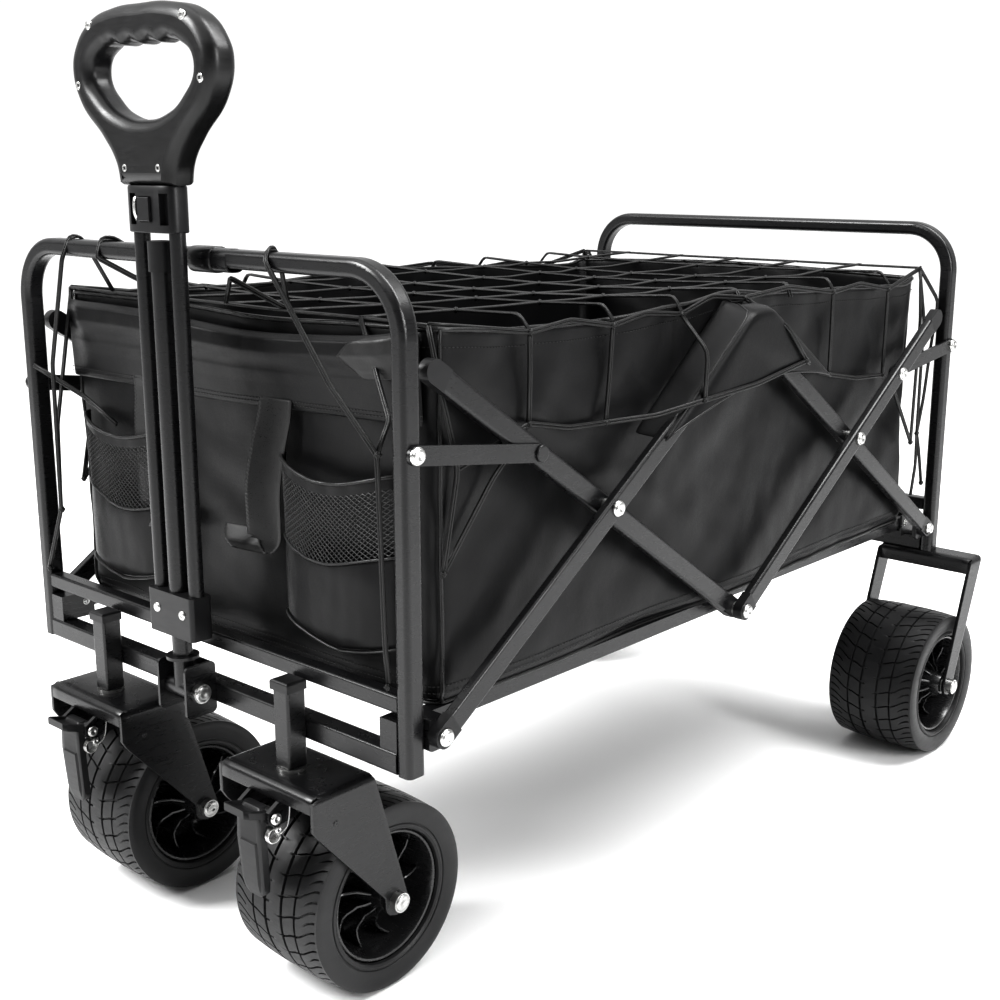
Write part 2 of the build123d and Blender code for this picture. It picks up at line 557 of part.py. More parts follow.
net_low = BAG_TOP + CLEAR
net_x = BAG_X - NET_CORD / 2
net_front, net_rear = BAG_FRONT + NET_CORD / 2, BAG_REAR - NET_CORD / 2
net = None
for i in range(NET_LINES_X + 2):
    x = -net_x + 2 * net_x * i / (NET_LINES_X + 1)
    line = block(x - NET_CORD / 2, x + NET_CORD / 2, net_front, net_rear, net_low, net_low + NET_CORD)
    net = line if net is None else net + line
for i in range(NET_LINES_Y + 2):
    y = net_front + (net_rear - net_front) * i / (NET_LINES_Y + 1)
    net += block(-net_x - NET_CORD / 2, net_x + NET_CORD / 2, y - NET_CORD / 2, y + NET_CORD / 2, net_low,
                 net_low + NET_CORD)
node("cargo_net", net)


# ---------------------------------------------------------------- pull handle
yoke_half, yoke_plate, yoke_low, yoke_high = YOKE
yoke = block(-yoke_half, yoke_half, HANDLE_Y - 14, -HOOP_FACE, yoke_low, yoke_high, 5, Axis.X)
yoke -= block(-yoke_half + yoke_plate, yoke_half - yoke_plate, HANDLE_Y - 15, -HOOP_FACE - yoke_plate,
              yoke_low - 1, yoke_high + 1)
yoke -= rod_x(-yoke_half - 1, yoke_half + 1, HANDLE_Y, HANDLE_PIVOT_Z, PIVOT_BOLT_R)
node("handle_yoke", yoke)
pivot_bolt = rod_x(-yoke_half, yoke_half, HANDLE_Y, HANDLE_PIVOT_Z, PIVOT_BOLT_R)
for side in (-1, 1):
    x0, x1 = sorted((side * yoke_half, side * (yoke_half + 6)))
    pivot_bolt += rod_x(x0, x1, HANDLE_Y, HANDLE_PIVOT_Z, 9)
node("handle_pivot_bolt", pivot_bolt)

block_half, block_deep, block_low, block_high = BLOCK
housing_half, housing_deep, housing_low, housing_high = HOUSING
sleeve_low, sleeve_high = SLEEVE_Z
eye_half = yoke_half - yoke_plate - CLEAR


# the post: a cross sleeve on the pivot bolt, a collar with a washer, the tube and its top sleeve
post = rod_z(0, HANDLE_Y, HANDLE_PIVOT_Z, sleeve_high, POST_TUBE_R)
post += rod_x(-eye_half, eye_half, HANDLE_Y, HANDLE_PIVOT_Z, 9)
post += rod_z(0, HANDLE_Y, yoke_high + 3, yoke_high + 6, 15)
post -= rod_z(0, HANDLE_Y, HANDLE_PIVOT_Z + 12, sleeve_high + 1, POST_TUBE_R - WALL)
post -= rod_x(-eye_half - 1, eye_half + 1, HANDLE_Y, HANDLE_PIVOT_Z, PIVOT_BOLT_R + PIN_CLEAR)
node("handle_post", post)
sleeve = rod_z(0, HANDLE_Y, sleeve_low, sleeve_high, SLEEVE_R) - rod_z(0, HANDLE_Y, 0, HOOP_TOP * 2, POST_TUBE_R)
node("handle_top_sleeve", sleeve)

# what slides up on the post: guide block, two side tubes, latch housing and grip
guide = block(-block_half, block_half, HANDLE_Y - block_deep, HANDLE_Y + block_deep, block_low, block_high, 4, Axis.Z)
guide -= rod_z(0, HANDLE_Y, block_low - 1, block_high + 1, POST_TUBE_R + PIN_CLEAR)
side_tubes = []
for side in (-1, 1):
    x = side * SIDE_TUBE_X
    guide -= rod_z(x, HANDLE_Y, block_low + 5, block_high + 1, SIDE_TUBE_R)
    side_tube = rod_z(x, HANDLE_Y, block_low + 5, housing_high, SIDE_TUBE_R)
    side_tubes.append(side_tube - rod_z(x, HANDLE_Y, block_low, housing_high + 1, SIDE_TUBE_R - WALL))
node("handle_guide_block", guide)
node("handle_side_tubes", *side_tubes)

housing = block(-housing_half, housing_half, HANDLE_Y - housing_deep, HANDLE_Y + housing_deep, housing_low,
                housing_high, 5, Axis.Z)
latch_half, latch_thick, latch_high = LATCH
for side in (-1, 1):
    housing -= rod_z(side * SIDE_TUBE_X, HANDLE_Y, housing_low - 1, housing_high + 1, SIDE_TUBE_R)
housing -= rod_z(0, HANDLE_Y, housing_low - 1, housing_high + 1, POST_TUBE_R + CLEAR)
latch_z = (housing_low + housing_high) / 2
latch_slot = latch_half + CLEAR
housing -= block(-latch_slot, latch_slot, HANDLE_Y - housing_deep - 1, HANDLE_Y, latch_z - latch_high / 2 - CLEAR,
                 latch_z + latch_high / 2 + CLEAR)
node("handle_latch_housing", housing)
latch_front = HANDLE_Y - housing_deep - 2.5
latch = block(-latch_half, latch_half, latch_front, latch_front + latch_thick, latch_z - latch_high / 2,
              latch_z + latch_high / 2, 1.0, Axis.X)
node("handle_latch_button", latch)

grip_low = housing_high
grip_plane = Plane(origin=(0, HANDLE_Y, 0), x_dir=(1, 0, 0), z_dir=(0, -1, 0))


def smooth_outline(right):
    """Face with a flat top and smooth sides through the points, down to a flat bottom or to the centre line."""
    left = [(-x, z) for x, z in reversed(right) if x > 0]
    if right[-1][0] > 0:
        sides = [Spline(*right, tangents=[(1, 0), (0, -1)]), Spline(*left, tangents=[(0, 1), (1, 0)])]
        sides.append(Line(right[-1], left[0]))
    else:
        sides = [Spline(*right, *left, tangents=[(1, 0), (1, 0)])]
    return make_face(sides + [Line(left[-1], right[0])])


grip_side = [(x, GRIP_TOP - below) for x, below in GRIP_OUTLINE] + [(GRIP_NECK_HALF, grip_low)]
opening_side = [(x, GRIP_TOP - below) for x, below in GRIP_OPENING]
grip_face = smooth_outline(grip_side) - smooth_outline(opening_side)
grip = extrude(grip_plane * grip_face, GRIP_THICK / 2, both=True)
screws = []
screw_face = HANDLE_Y - GRIP_THICK / 2
for half, below in GRIP_SCREWS:
    for x in (-half, half):
        grip -= rod_y(x, screw_face - 1, screw_face + 10, GRIP_TOP - below, SCREW_R)
        screws.append(rod_y(x, screw_face, screw_face + 10, GRIP_TOP - below, SCREW_R))
node("handle_grip", grip)
node("grip_screws", *screws)

# ---------------------------------------------------------------- origin under the middle, one file per node
FRONT_END = CASTOR_Y + BRAKE_Y - PEDAL_REACH
REAR_END = max(REAR_AXLE_Y + WHEEL_R, LENGTH + HOOP_FACE)
ORIGIN_Y = (FRONT_END + REAR_END) / 2
FRONT_RAIL_REACH = LENGTH / 2 - RAIL_INSET
FOLD_TRAVEL = FOLDED_ANGLE - OPEN_ANGLE
FOLDED_LENGTH = FRONT_INSET + REAR_INSET + 4 * LINK_HALF * cos(radians(FOLDED_ANGLE))
RAIL_TRAVEL = degrees(acos((FOLDED_LENGTH / 2 - RAIL_INSET) / FRONT_RAIL_REACH))

os.makedirs("parts", exist_ok=True)
for name, solids in nodes.items():
    moved = [Pos(0, -ORIGIN_Y, 0) * solid for solid in solids]
    export_step(Compound(children=moved), f"parts/{name}.step")
print(len(nodes), "nodes; links open", round(OPEN_ANGLE, 2), "folded", FOLDED_ANGLE)
print("open", LENGTH, "folded", round(FOLDED_LENGTH, 1), "rails turn", round(RAIL_TRAVEL, 1))
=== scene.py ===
"""Folding camp wagon: cloth, net, wheels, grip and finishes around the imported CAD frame.

Metres, in the frame's axes: +X right, +Y from the pull handle to the rear, +Z up, ground at z = 0.
"""
import json
import math

import bmesh
import bpy
from mathutils import Matrix, Vector, noise


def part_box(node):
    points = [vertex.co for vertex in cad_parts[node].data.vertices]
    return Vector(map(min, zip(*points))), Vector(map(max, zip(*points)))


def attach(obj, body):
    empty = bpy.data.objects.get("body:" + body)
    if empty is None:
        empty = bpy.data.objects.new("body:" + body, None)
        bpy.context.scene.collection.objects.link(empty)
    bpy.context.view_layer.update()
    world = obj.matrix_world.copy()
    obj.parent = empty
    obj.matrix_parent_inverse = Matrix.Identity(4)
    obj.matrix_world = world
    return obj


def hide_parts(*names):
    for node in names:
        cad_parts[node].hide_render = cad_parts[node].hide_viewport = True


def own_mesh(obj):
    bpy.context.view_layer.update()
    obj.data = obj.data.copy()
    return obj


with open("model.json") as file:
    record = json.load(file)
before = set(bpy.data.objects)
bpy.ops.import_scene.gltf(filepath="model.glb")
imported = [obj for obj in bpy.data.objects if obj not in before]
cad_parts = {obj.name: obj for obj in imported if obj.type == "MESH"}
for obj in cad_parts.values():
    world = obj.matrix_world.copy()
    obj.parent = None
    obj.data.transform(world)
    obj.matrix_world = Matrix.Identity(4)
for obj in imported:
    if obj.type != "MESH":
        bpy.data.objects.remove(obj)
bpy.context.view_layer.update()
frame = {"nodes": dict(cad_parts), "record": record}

TAU = 2 * math.pi
MM = 0.001
SIDES = (("right", 1), ("left", -1))

# ---------------------------------------------------------------- places taken from the frame
HOOP_LOW, HOOP_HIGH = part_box("front_hoop")
REAR_LOW, REAR_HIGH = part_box("rear_hoop")
BAG_LOW, BAG_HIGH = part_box("bag")
POCKET_LOW, POCKET_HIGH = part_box("front_pockets")
GRIP_LOW, GRIP_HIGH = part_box("handle_grip")
HOOP_Y = (HOOP_LOW.y + HOOP_HIGH.y) / 2        # middle plane of the front hoop
REAR_Y = (REAR_LOW.y + REAR_HIGH.y) / 2
HOOP_TOP = HOOP_HIGH.z
BAG_X = BAG_HIGH.x
FRONT = BAG_LOW.y                              # the bag's front panel
REAR = BAG_HIGH.y
RIM_Z = BAG_HIGH.z
POCKET_IN = 81 * MM                            # the pockets' inner edges, either side of the middle
POCKET_OUT = 228 * MM


# ---------------------------------------------------------------- mesh helpers
class Shape:
    """Vertices and faces gathered for one mesh."""

    def __init__(self):
        self.verts = []
        self.faces = []

    def add(self, verts, faces):
        base = len(self.verts)
        self.verts += [Vector(v) for v in verts]
        self.faces += [[base + i for i in face] for face in faces]

    def grid(self, rows, around=False, ends=False, capped=False):
        """Rows of points joined by quads; around closes each row, ends joins the last row to the first."""
        count = len(rows[0])
        faces = []
        for i in range(len(rows) if ends else len(rows) - 1):
            j = (i + 1) % len(rows)
            for k in range(count if around else count - 1):
                m = (k + 1) % count
                faces.append([i * count + k, i * count + m, j * count + m, j * count + k])
        self.add([p for row in rows for p in row], faces)
        if capped:
            last = len(self.verts)
            first = last - len(rows) * count
            self.faces += [list(range(first, first + count)), list(range(last - count, last))]

    def sweep(self, path, section, up=None, closed=False):
        """A section of (across, up) offsets carried along a path, capped at open ends."""
        path = [Vector(p) for p in path]
        last = len(path) - 1
        rows = []
        side = None
        for i, point in enumerate(path):
            before = path[i - 1] if i or closed else path[i]
            after = path[(i + 1) % len(path)] if i < last or closed else path[i]
            along = (after - before).normalized()
            if up is not None:
                side = along.cross(Vector(up)).normalized()
            elif side is None:
                side = along.orthogonal().normalized()
            else:
                side = (side - along * side.dot(along)).normalized()
            other = side.cross(along)
            rows.append([point + side * a + other * b for a, b in section])
        self.grid(rows, around=True, ends=closed, capped=not closed)
        if not closed:
            self.faces[-2].reverse()

    def lathe_x(self, profile, steps):
        """Revolves (x, radius) points about the X axis."""
        self.grid([[Vector((x, r * c, r * s)) for c, s in turns(steps)] for x, r in profile], around=True)

    def move(self, offset):
        self.verts = [v + Vector(offset) for v in self.verts]

    def bead(self, centre, along, long, wide):
        """A small pointed stitch or knot, longer one way."""
        along = Vector(along).normalized()
        side = along.orthogonal().normalized()
        other = along.cross(side)
        waist = [centre + (side * c + other * s) * wide / 2 for c, s in turns(6)]
        front, back = [p + along * long * 0.28 for p in waist], [p - along * long * 0.28 for p in waist]
        verts = front + back + [centre + along * long / 2, centre - along * long / 2]
        faces = [[k, (k + 1) % 6, 6 + (k + 1) % 6, 6 + k] for k in range(6)]
        faces += [[(k + 1) % 6, k, 12] for k in range(6)]
        faces += [[6 + k, 6 + (k + 1) % 6, 13] for k in range(6)]
        self.add(verts, faces)

    def piece(self, name, material, smooth=True):
        mesh = bpy.data.meshes.new(name)
        mesh.from_pydata([tuple(v) for v in self.verts], [], self.faces)
        mesh.update()
        made = bmesh.new()
        made.from_mesh(mesh)
        bmesh.ops.recalc_face_normals(made, faces=made.faces)
        made.to_mesh(mesh)
        made.free()
        mesh.polygons.foreach_set("use_smooth", [smooth] * len(mesh.polygons))
        mesh.materials.append(material)
        return new_object(name, mesh)


def turns(count, shift=0.0):
    """Cosines and sines of evenly spaced angles."""
    return [(math.cos(TAU * (k + shift) / count), math.sin(TAU * (k + shift) / count)) for k in range(count)]


def ring(radius, sides=8):
    """Round section for a sweep."""
    return [(radius * c, radius * s) for c, s in turns(sides)]


def squared(value, power):
    """Bends a cosine or sine so that a circle becomes a rounded rectangle."""
    return math.copysign(abs(value) ** power, value)


def new_object(name, data):
    obj = bpy.data.objects.new(name, data)
    bpy.context.scene.collection.objects.link(obj)
    return obj


def bevel(obj, width, degrees):
    edge = obj.modifiers.new("edge", "BEVEL")
    edge.width = width
    edge.segments = 2
    edge.limit_method = "ANGLE"
    edge.angle_limit = math.radians(degrees)


def settle(obj):
    """Makes the modifiers' result the mesh."""
    graph = bpy.context.evaluated_depsgraph_get()
    made = bpy.data.meshes.new_from_object(obj.evaluated_get(graph))
    obj.modifiers.clear()
    obj.data = made
    return obj


def thicken(obj, thickness, smooth_levels=0, offset=-1.0):
    """Gives a cloth sheet its thickness and softens it."""
    solid = obj.modifiers.new("cloth", "SOLIDIFY")
    solid.thickness = thickness
    solid.offset = offset
    if smooth_levels:
        soft = obj.modifiers.new("soft", "SUBSURF")
        soft.levels = soft.render_levels = smooth_levels
    return settle(obj)


def soft_angle(obj, degrees=35):
    """Smooth shading with creases kept at sharp edges."""
    obj.data.set_sharp_from_angle(angle=math.radians(degrees))
    return obj


def smooth_path(points, steps=8):
    """Catmull-Rom curve through the points."""
    pts = [Vector(p) for p in points]
    out = []
    for i, (p1, p2) in enumerate(zip(pts, pts[1:])):
        p0 = pts[i - 1] if i else pts[0] * 2 - pts[1]
        p3 = pts[i + 2] if i + 2 < len(pts) else p2 * 2 - p1
        for k in range(steps):
            t = k / steps
            out.append(0.5 * ((2 * p1) + (p2 - p0) * t + (2 * p0 - 5 * p1 + 4 * p2 - p3) * t * t
                              + (3 * p1 - p0 - 3 * p2 + p3) * t ** 3))
    return out + [pts[-1]]


def taut_path(points, bend=5 * MM):
    """Straight runs between the points with small rounded corners."""
    pts = [Vector(p) for p in points]
    out = [pts[0]]
    for before, here, after in zip(pts, pts[1:], pts[2:]):
        back, ahead = before - here, after - here
        a = here + back.normalized() * min(bend, back.length * 0.45)
        b = here + ahead.normalized() * min(bend, ahead.length * 0.45)
        out += [a, a * 0.25 + here * 0.5 + b * 0.25, b]
    out.append(pts[-1])
    dense = []
    for a, b in zip(out, out[1:]):
        count = max(1, round((b - a).length / (22 * MM)))
        dense += [a.lerp(b, i / count) for i in range(count)]
    return dense + [out[-1]]


def between(value, points):
    """Piecewise value through (position, value) points, eased at each."""
    if value <= points[0][0]:
        return points[0][1]
    for (a, fa), (b, fb) in zip(points, points[1:]):
        if value <= b:
            t = (value - a) / (b - a)
            t = t * t * (3 - 2 * t)
            return fa + (fb - fa) * t
    return points[-1][1]


def bump(value, centre, wide):
    return math.exp(-((value - centre) / wide) ** 2)


def wave(x, y, z, scale, seed=0.0):
    return noise.noise(Vector((x * scale + seed, y * scale - seed, z * scale + 3 * seed)))


# ---------------------------------------------------------------- materials
def new_material(name):
    mat = bpy.data.materials.new(name)
    mat.use_nodes = True
    nodes = mat.node_tree.nodes
    return mat, nodes, mat.node_tree.links, nodes["Principled BSDF"]


def add_node(nodes, kind, **values):
    node = nodes.new(kind)
    for key, value in values.items():
        if key in node.inputs.keys():
            node.inputs[key].default_value = value
        else:
            setattr(node, key, value)
    return node


def coordinates(nodes, links, scale=(1, 1, 1), turn=(0, 0, 0)):
    place = add_node(nodes, "ShaderNodeTexCoord")
    mapping = add_node(nodes, "ShaderNodeMapping")
    mapping.inputs["Scale"].default_value = scale
    mapping.inputs["Rotation"].default_value = turn
    links.new(place.outputs["Object"], mapping.inputs["Vector"])
    return mapping.outputs["Vector"]


def spread(nodes, links, source, low, high, from_low=0.3, from_high=0.7):
    """Maps a 0 to 1 texture to a range."""
    span = add_node(nodes, "ShaderNodeMapRange")
    span.inputs["From Min"].default_value = from_low
    span.inputs["From Max"].default_value = from_high
    span.inputs["To Min"].default_value = low
    span.inputs["To Max"].default_value = high
    links.new(source, span.inputs["Value"])
    return span.outputs["Result"]


def colours(nodes, links, source, dark, light, low=0.35, high=0.65):
    """Blends two near greys, each given as (red and green, blue)."""
    ramp = add_node(nodes, "ShaderNodeValToRGB")
    for stop, position, (grey, blue) in zip(ramp.color_ramp.elements, (low, high), (dark, light)):
        stop.position = position
        stop.color = (grey, grey, blue, 1)
    links.new(source, ramp.inputs["Fac"])
    return ramp.outputs["Color"]


def raised(nodes, links, shader, heights):
    """Chains bumps: (height socket, distance in metres, strength)."""
    normal = None
    for height, distance, strength in heights:
        bump_node = add_node(nodes, "ShaderNodeBump", Strength=strength, Distance=distance)
        links.new(height, bump_node.inputs["Height"])
        if normal is not None:
            links.new(normal, bump_node.inputs["Normal"])
        normal = bump_node.outputs["Normal"]
    links.new(normal, shader.inputs["Normal"])


def noise_texture(nodes, links, vector, scale, detail=4.0, rough=0.55):
    texture = add_node(nodes, "ShaderNodeTexNoise", Scale=scale, Detail=detail, Roughness=rough)
    links.new(vector, texture.inputs["Vector"])
    return texture.outputs["Fac"]


def hard_material(name, dark, light, rough, grain, grain_height, specular, metallic=0.0):
    """Painted, plated or moulded surface: cloudy colour, uneven gloss, fine grain and faint scuffs."""
    mat, nodes, links, shader = new_material(name)
    where = coordinates(nodes, links)
    cloud = noise_texture(nodes, links, where, 14.0, 6.0)
    fine = noise_texture(nodes, links, where, grain, 2.0)
    scuff = noise_texture(nodes, links, coordinates(nodes, links, (1, 1, 6), (0.4, 0.2, 0)), 55.0, 8.0, 0.75)
    links.new(colours(nodes, links, cloud, dark, light), shader.inputs["Base Color"])
    links.new(spread(nodes, links, scuff, *rough), shader.inputs["Roughness"])
    shader.inputs["Specular IOR Level"].default_value = specular
    shader.inputs["Metallic"].default_value = metallic
    raised(nodes, links, shader, [(fine, grain_height, 0.5), (cloud, 0.0004, 0.25)])
    return mat


def woven_material(name, dark, light, threads, height, rough, specular, crossed=True):
    """Cloth: crossed threads at real size, uneven dye and soft crumples."""
    mat, nodes, links, shader = new_material(name)
    where = coordinates(nodes, links)
    cloud = noise_texture(nodes, links, where, 9.0, 6.0, 0.6)
    speckle = noise_texture(nodes, links, where, 900.0, 2.0)
    crumple = noise_texture(nodes, links, where, 26.0, 5.0, 0.6)
    links.new(colours(nodes, links, cloud, dark, light, 0.3, 0.7), shader.inputs["Base Color"])
    links.new(spread(nodes, links, speckle, rough - 0.12, rough + 0.08), shader.inputs["Roughness"])
    shader.inputs["Specular IOR Level"].default_value = specular
    heights = [(crumple, 0.0015, 0.35)]
    for turn in THREAD_TURNS if crossed else ((0, 0, 0),):
        thread = add_node(nodes, "ShaderNodeTexWave", Scale=threads, Distortion=0.6, wave_type="BANDS",
                          bands_direction="DIAGONAL" if crossed else "Z", wave_profile="SIN")
        links.new(coordinates(nodes, links, turn=turn), thread.inputs["Vector"])
        heights.append((thread.outputs["Fac"], height, 0.25))
    heights.append((speckle, height, 0.5))
    raised(nodes, links, shader, heights)
    return mat


THREAD_TURNS = ((0, 0, 0.785), (0.785, 0, 0.785))    # the two ways that woven threads run

# slot, name, dark and light as (red and green, blue), roughness range, grain per metre and its height, specular
HARD = (
    ("black_steel", "powder_coat", (0.0030, 0.0034), (0.0060, 0.0065), (0.24, 0.34), 1400.0, 0.00002, 0.40),
    ("zinc", "zinc_plate", (0.42, 0.41), (0.70, 0.69), (0.20, 0.42), 900.0, 0.00002, 0.50, 1.0),
    ("black_plastic", "moulded_plastic", (0.005, 0.0055), (0.008, 0.0085), (0.32, 0.45), 1100.0, 0.00005, 0.30),
    ("grip_plastic", "grip_plastic", (0.004, 0.004), (0.007, 0.0075), (0.27, 0.40), 1300.0, 0.00006, 0.34),
    ("tyre_rubber", "tyre", (0.006, 0.0065), (0.014, 0.0145), (0.34, 0.52), 700.0, 0.0001, 0.32),
    ("rim_plastic", "rim_plastic", (0.005, 0.0055), (0.011, 0.0115), (0.20, 0.32), 1000.0, 0.00002, 0.60),
    ("embossed", "embossed_cloth", (0.005, 0.005), (0.022, 0.022), (0.36, 0.50), 420.0, 0.0004, 0.32),
)
# slot, name, dark and light, threads per metre and their height, roughness, specular
WOVEN = (
    ("bag_fabric", "polyester", (0.0020, 0.0022), (0.0036, 0.0039), 620.0, 0.00004, 0.40, 0.17),
    ("webbing", "webbing", (0.009, 0.009), (0.020, 0.020), 420.0, 0.0001, 0.38, 0.45, False),
    ("net_cord", "elastic_cord", (0.003, 0.003), (0.008, 0.008), 900.0, 0.0001, 0.40, 0.30),
    ("thread", "thread", (0.007, 0.007), (0.016, 0.016), 900.0, 0.0001, 0.50, 0.30),
    ("piping", "piping", (0.005, 0.005), (0.011, 0.011), 700.0, 0.00005, 0.36, 0.32),
    ("mesh", "mesh_cloth", (0.012, 0.012), (0.026, 0.026), 900.0, 0.00005, 0.34, 0.55),
)
MATERIALS = {row[0]: hard_material(*row[1:]) for row in HARD}
MATERIALS.update({row[0]: woven_material(*row[1:]) for row in WOVEN})
THREAD, PIPING, MESH, EMBOSSED = (MATERIALS[look] for look in ("thread", "piping", "mesh", "embossed"))


def fasten(obj, body, slot, *nodes, fold=False):
    """Rides a piece on its body, hides the CAD nodes it stands for, and with fold gives the piece its own mesh. The
    slot is not used.
    """
    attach(obj, body)
    if fold:
        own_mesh(obj)
    if nodes:
        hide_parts(*nodes)
    return obj


def fit(shape, name, body, slot, *nodes, look=None, cloth=0.0, levels=0, crease=None, fold=False):
    """Makes a shape's piece in its slot's material or another look, with any cloth thickness, and fastens it."""
    obj = shape.piece(name, look or MATERIALS[slot])
    if cloth:
        thicken(obj, cloth, levels)
    if crease:
        soft_angle(obj, crease)
    return fasten(obj, body, slot, *nodes, fold=fold)


# ---------------------------------------------------------------- carried-over nodes
ROUND_TUBES = {"front_hoop", "rear_hoop", "handle_post", "handle_side_tubes", "castor_bushes"}


def finish_nodes():
    """Gives every CAD node its finish, and a small radius to its folded and cut edges."""
    for entry in frame["record"]["subparts"]:
        node = frame["nodes"][entry["node"]]
        node.data.materials.clear()
        node.data.materials.append(MATERIALS[entry["material_slot"]])
        if entry["node"] not in ROUND_TUBES:
            bevel(node, 0.7 * MM, 38)


# ---------------------------------------------------------------- wheels
BLOCKS = 30                    # tread blocks round the tyre
TREAD = 2.8 * MM
# distances from the tyre's middle, mm
RIB_EDGE, LUG_START, LUG_EDGE, TREAD_EDGE = 9, 43, 51.5, 52.6
TREAD_SLANT = ((9, 0.0), (27, 0.30), (52, 0.95))    # distance from the middle, lean as a share of a pitch
# (share of a block pitch, whether that line lies on a cross groove's floor); the second half repeats the first
PITCH_LINES = ((0.0, False), (0.025, True), (0.095, True), (0.12, False), (0.31, False))
# (distance from the middle in mm, whether that line lies on a groove's floor)
TREAD_LINES = ((0, False), (5, False), (9.2, False), (9.8, True), (12.0, True), (12.6, False), (17, False),
               (22, False), (26.6, False), (27.1, True), (28.6, True), (29.1, False), (34, False), (39, False),
               (43, False), (46.5, False), (49, False), (51.2, False), (52.6, False))
SIDE_LINES = ((54.6, -2.2), (55.7, -4.8), (56.0, -8.5), (55.9, -13), (55.2, -18), (54.3, -20.6), (53.2, -21.2),
              (53.2, -22.0), (54.2, -22.6), (54.6, -24.5), (53.4, -26.6), (50.5, -27.4))
# the rim from its lip inwards: (x, depth below the rim's edge), then the hub as (x, radius), mm
RIM_LIP = ((-47.0, 0.2), (-50.0, 0.4), (-50.6, 1.4), (-50.0, 3.2), (-47.5, 4.4), (-42.0, 5.4), (-26, 7.5), (-14, 9),
           (-9.5, 12), (-7.5, 17))
RIM_HUB = ((-7.5, 33), (-12, 26), (-26, 18.5), (-45, 14.2), (-53, 13.0), (-55.2, 12.2), (-55.8, 10.8), (-55.8, 5.2))
RIBS = 10
RIB_TOP = ((0, 44), (0.3, 35), (0.62, 30), (1, 33))  # share of the way out, distance from the middle
RIB_FOOT = 6.5 * MM
HUB_R = 14.5


def tyre(name, body, node):
    """Wide tyre: plain centre rib, two rows of blocks each side, slanted shoulder lugs and a plain sidewall."""
    low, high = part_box(node)
    centre, radius = (low + high) / 2, (high.z - low.z) / 2
    lines = [(-x, f) for x, f in reversed(TREAD_LINES[1:])] + list(TREAD_LINES)
    pitch = TAU / BLOCKS
    around = [(pitch * (k + share + half), floor, half) for k in range(BLOCKS) for half in (0.0, 0.5)
              for share, floor in PITCH_LINES]
    rows = []

    def crown(x):
        return radius - 2.4 * MM * (abs(x) / TREAD_EDGE) ** 2.6

    for x, groove in lines:
        far = abs(x)
        slant = pitch * between(far, TREAD_SLANT)
        stagger = 0.5 if x < 0 else 0.0
        row = []
        for angle, floor, half in around:
            deep = TREAD if groove else 0.0
            if floor and half == stagger and RIB_EDGE <= far <= LUG_EDGE:
                deep = TREAD
            elif floor and half != stagger and LUG_START <= far <= LUG_EDGE:
                deep = TREAD * 0.9
            if 0 < far < RIB_EDGE and not groove:
                deep += 0.15 * MM * (1 + wave(x, angle * 9, 0, 1.3))
            r = crown(x) - deep
            turn = angle + slant
            row.append(Vector((x * MM, -r * math.cos(turn), r * math.sin(turn))))
        rows.append(row)
    slant = pitch * TREAD_SLANT[-1][1]
    for sign in (1, -1):
        extra = []
        for x, drop in SIDE_LINES:
            r = crown(TREAD_EDGE) + (drop + 2.2) * MM
            extra.append([Vector((sign * x * MM, -r * math.cos(a + slant), r * math.sin(a + slant)))
                          for a, _, _ in around])
        rows = rows + extra if sign > 0 else extra[::-1] + rows
    shape = Shape()
    shape.grid(rows, around=True)
    shape.move(centre)
    fit(shape, name, body, "tyre_rubber", node, crease=32)


def rim(name, body, node):
    """Deep-dished moulded rim: rolled lip, tapering barrel, coned hub and thin curved ribs on both faces."""
    low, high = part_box(node)
    r = (high.z - low.z) / 2 / MM
    profile = [(x, r - drop) for x, drop in RIM_LIP] + list(RIM_HUB)
    profile += [(-x, radius) for x, radius in reversed(profile)]
    shape = Shape()
    shape.lathe_x([(x * MM, radius * MM) for x, radius in profile], 72)
    for face in (-1, 1):
        for k in range(RIBS):
            start = TAU * (k + (0.5 if face > 0 else 0)) / RIBS
            rows = []
            for i in range(9):
                s = i / 8
                radius = (HUB_R + (r - 7.5 - HUB_R) * s) * MM
                top = between(s, RIB_TOP) * MM
                angle = start + 0.32 * s * s * face
                half = 1.15 * MM / radius
                corner = []
                for x, side in ((RIB_FOOT, -1), (top, -1), (top + 0.5 * MM, 0), (top, 1), (RIB_FOOT, 1)):
                    a = angle + side * half
                    corner.append(Vector((face * x, radius * math.cos(a), radius * math.sin(a))))
                rows.append(corner)
            shape.grid(rows, around=True, capped=True)
    shape.move((low + high) / 2)
    fit(shape, name, body, "rim_plastic", node, crease=38)


def wheels():
    for side, _ in SIDES:
        for end in ("front", "rear"):
            body = f"{end}_wheel_{side}"
            tyre(f"tread_{end}_{side}", body, f"{end}_tyre_{side}")
            rim(f"wheel_rim_{end}_{side}", body, f"{end}_rim_{side}")


# ---------------------------------------------------------------- bent sheet forks
BEND = 7 * MM
SHEET = 4 * MM
DIMPLE_Z = 0.188

# foot brakes, mm: the tab's section (share of its half width, height), the pad's levels (height, share of the half
# width, front face) and the barrel round the pin (share of the half width, radius)
TAB_SECTION = ((-1, -7), (-1, -1), (-0.93, 0), (-0.8, 0), (-0.72, -2.6), (0.72, -2.6), (0.8, 0), (0.93, 0), (1, -1),
               (1, -7))
PAD_LINES = ((8, 0.62, -7), (4, 0.86, -10), (-4, 0.95, -11.5), (-22, 0.98, -12), (-24, 0.98, -12),
             (-30, 0.97, -11.6), (-62, 0.90, -9.5), (-70, 0.78, -8.5), (-75, 0.45, -7.5))
BRAKE_BARREL = ((-1, 3.2), (-1, 6.6), (-0.95, 7), (0.95, 7), (1, 6.6), (1, 3.2))
BRAKE_PIN_Z = 0.190
WIRE_END_Z = 0.207


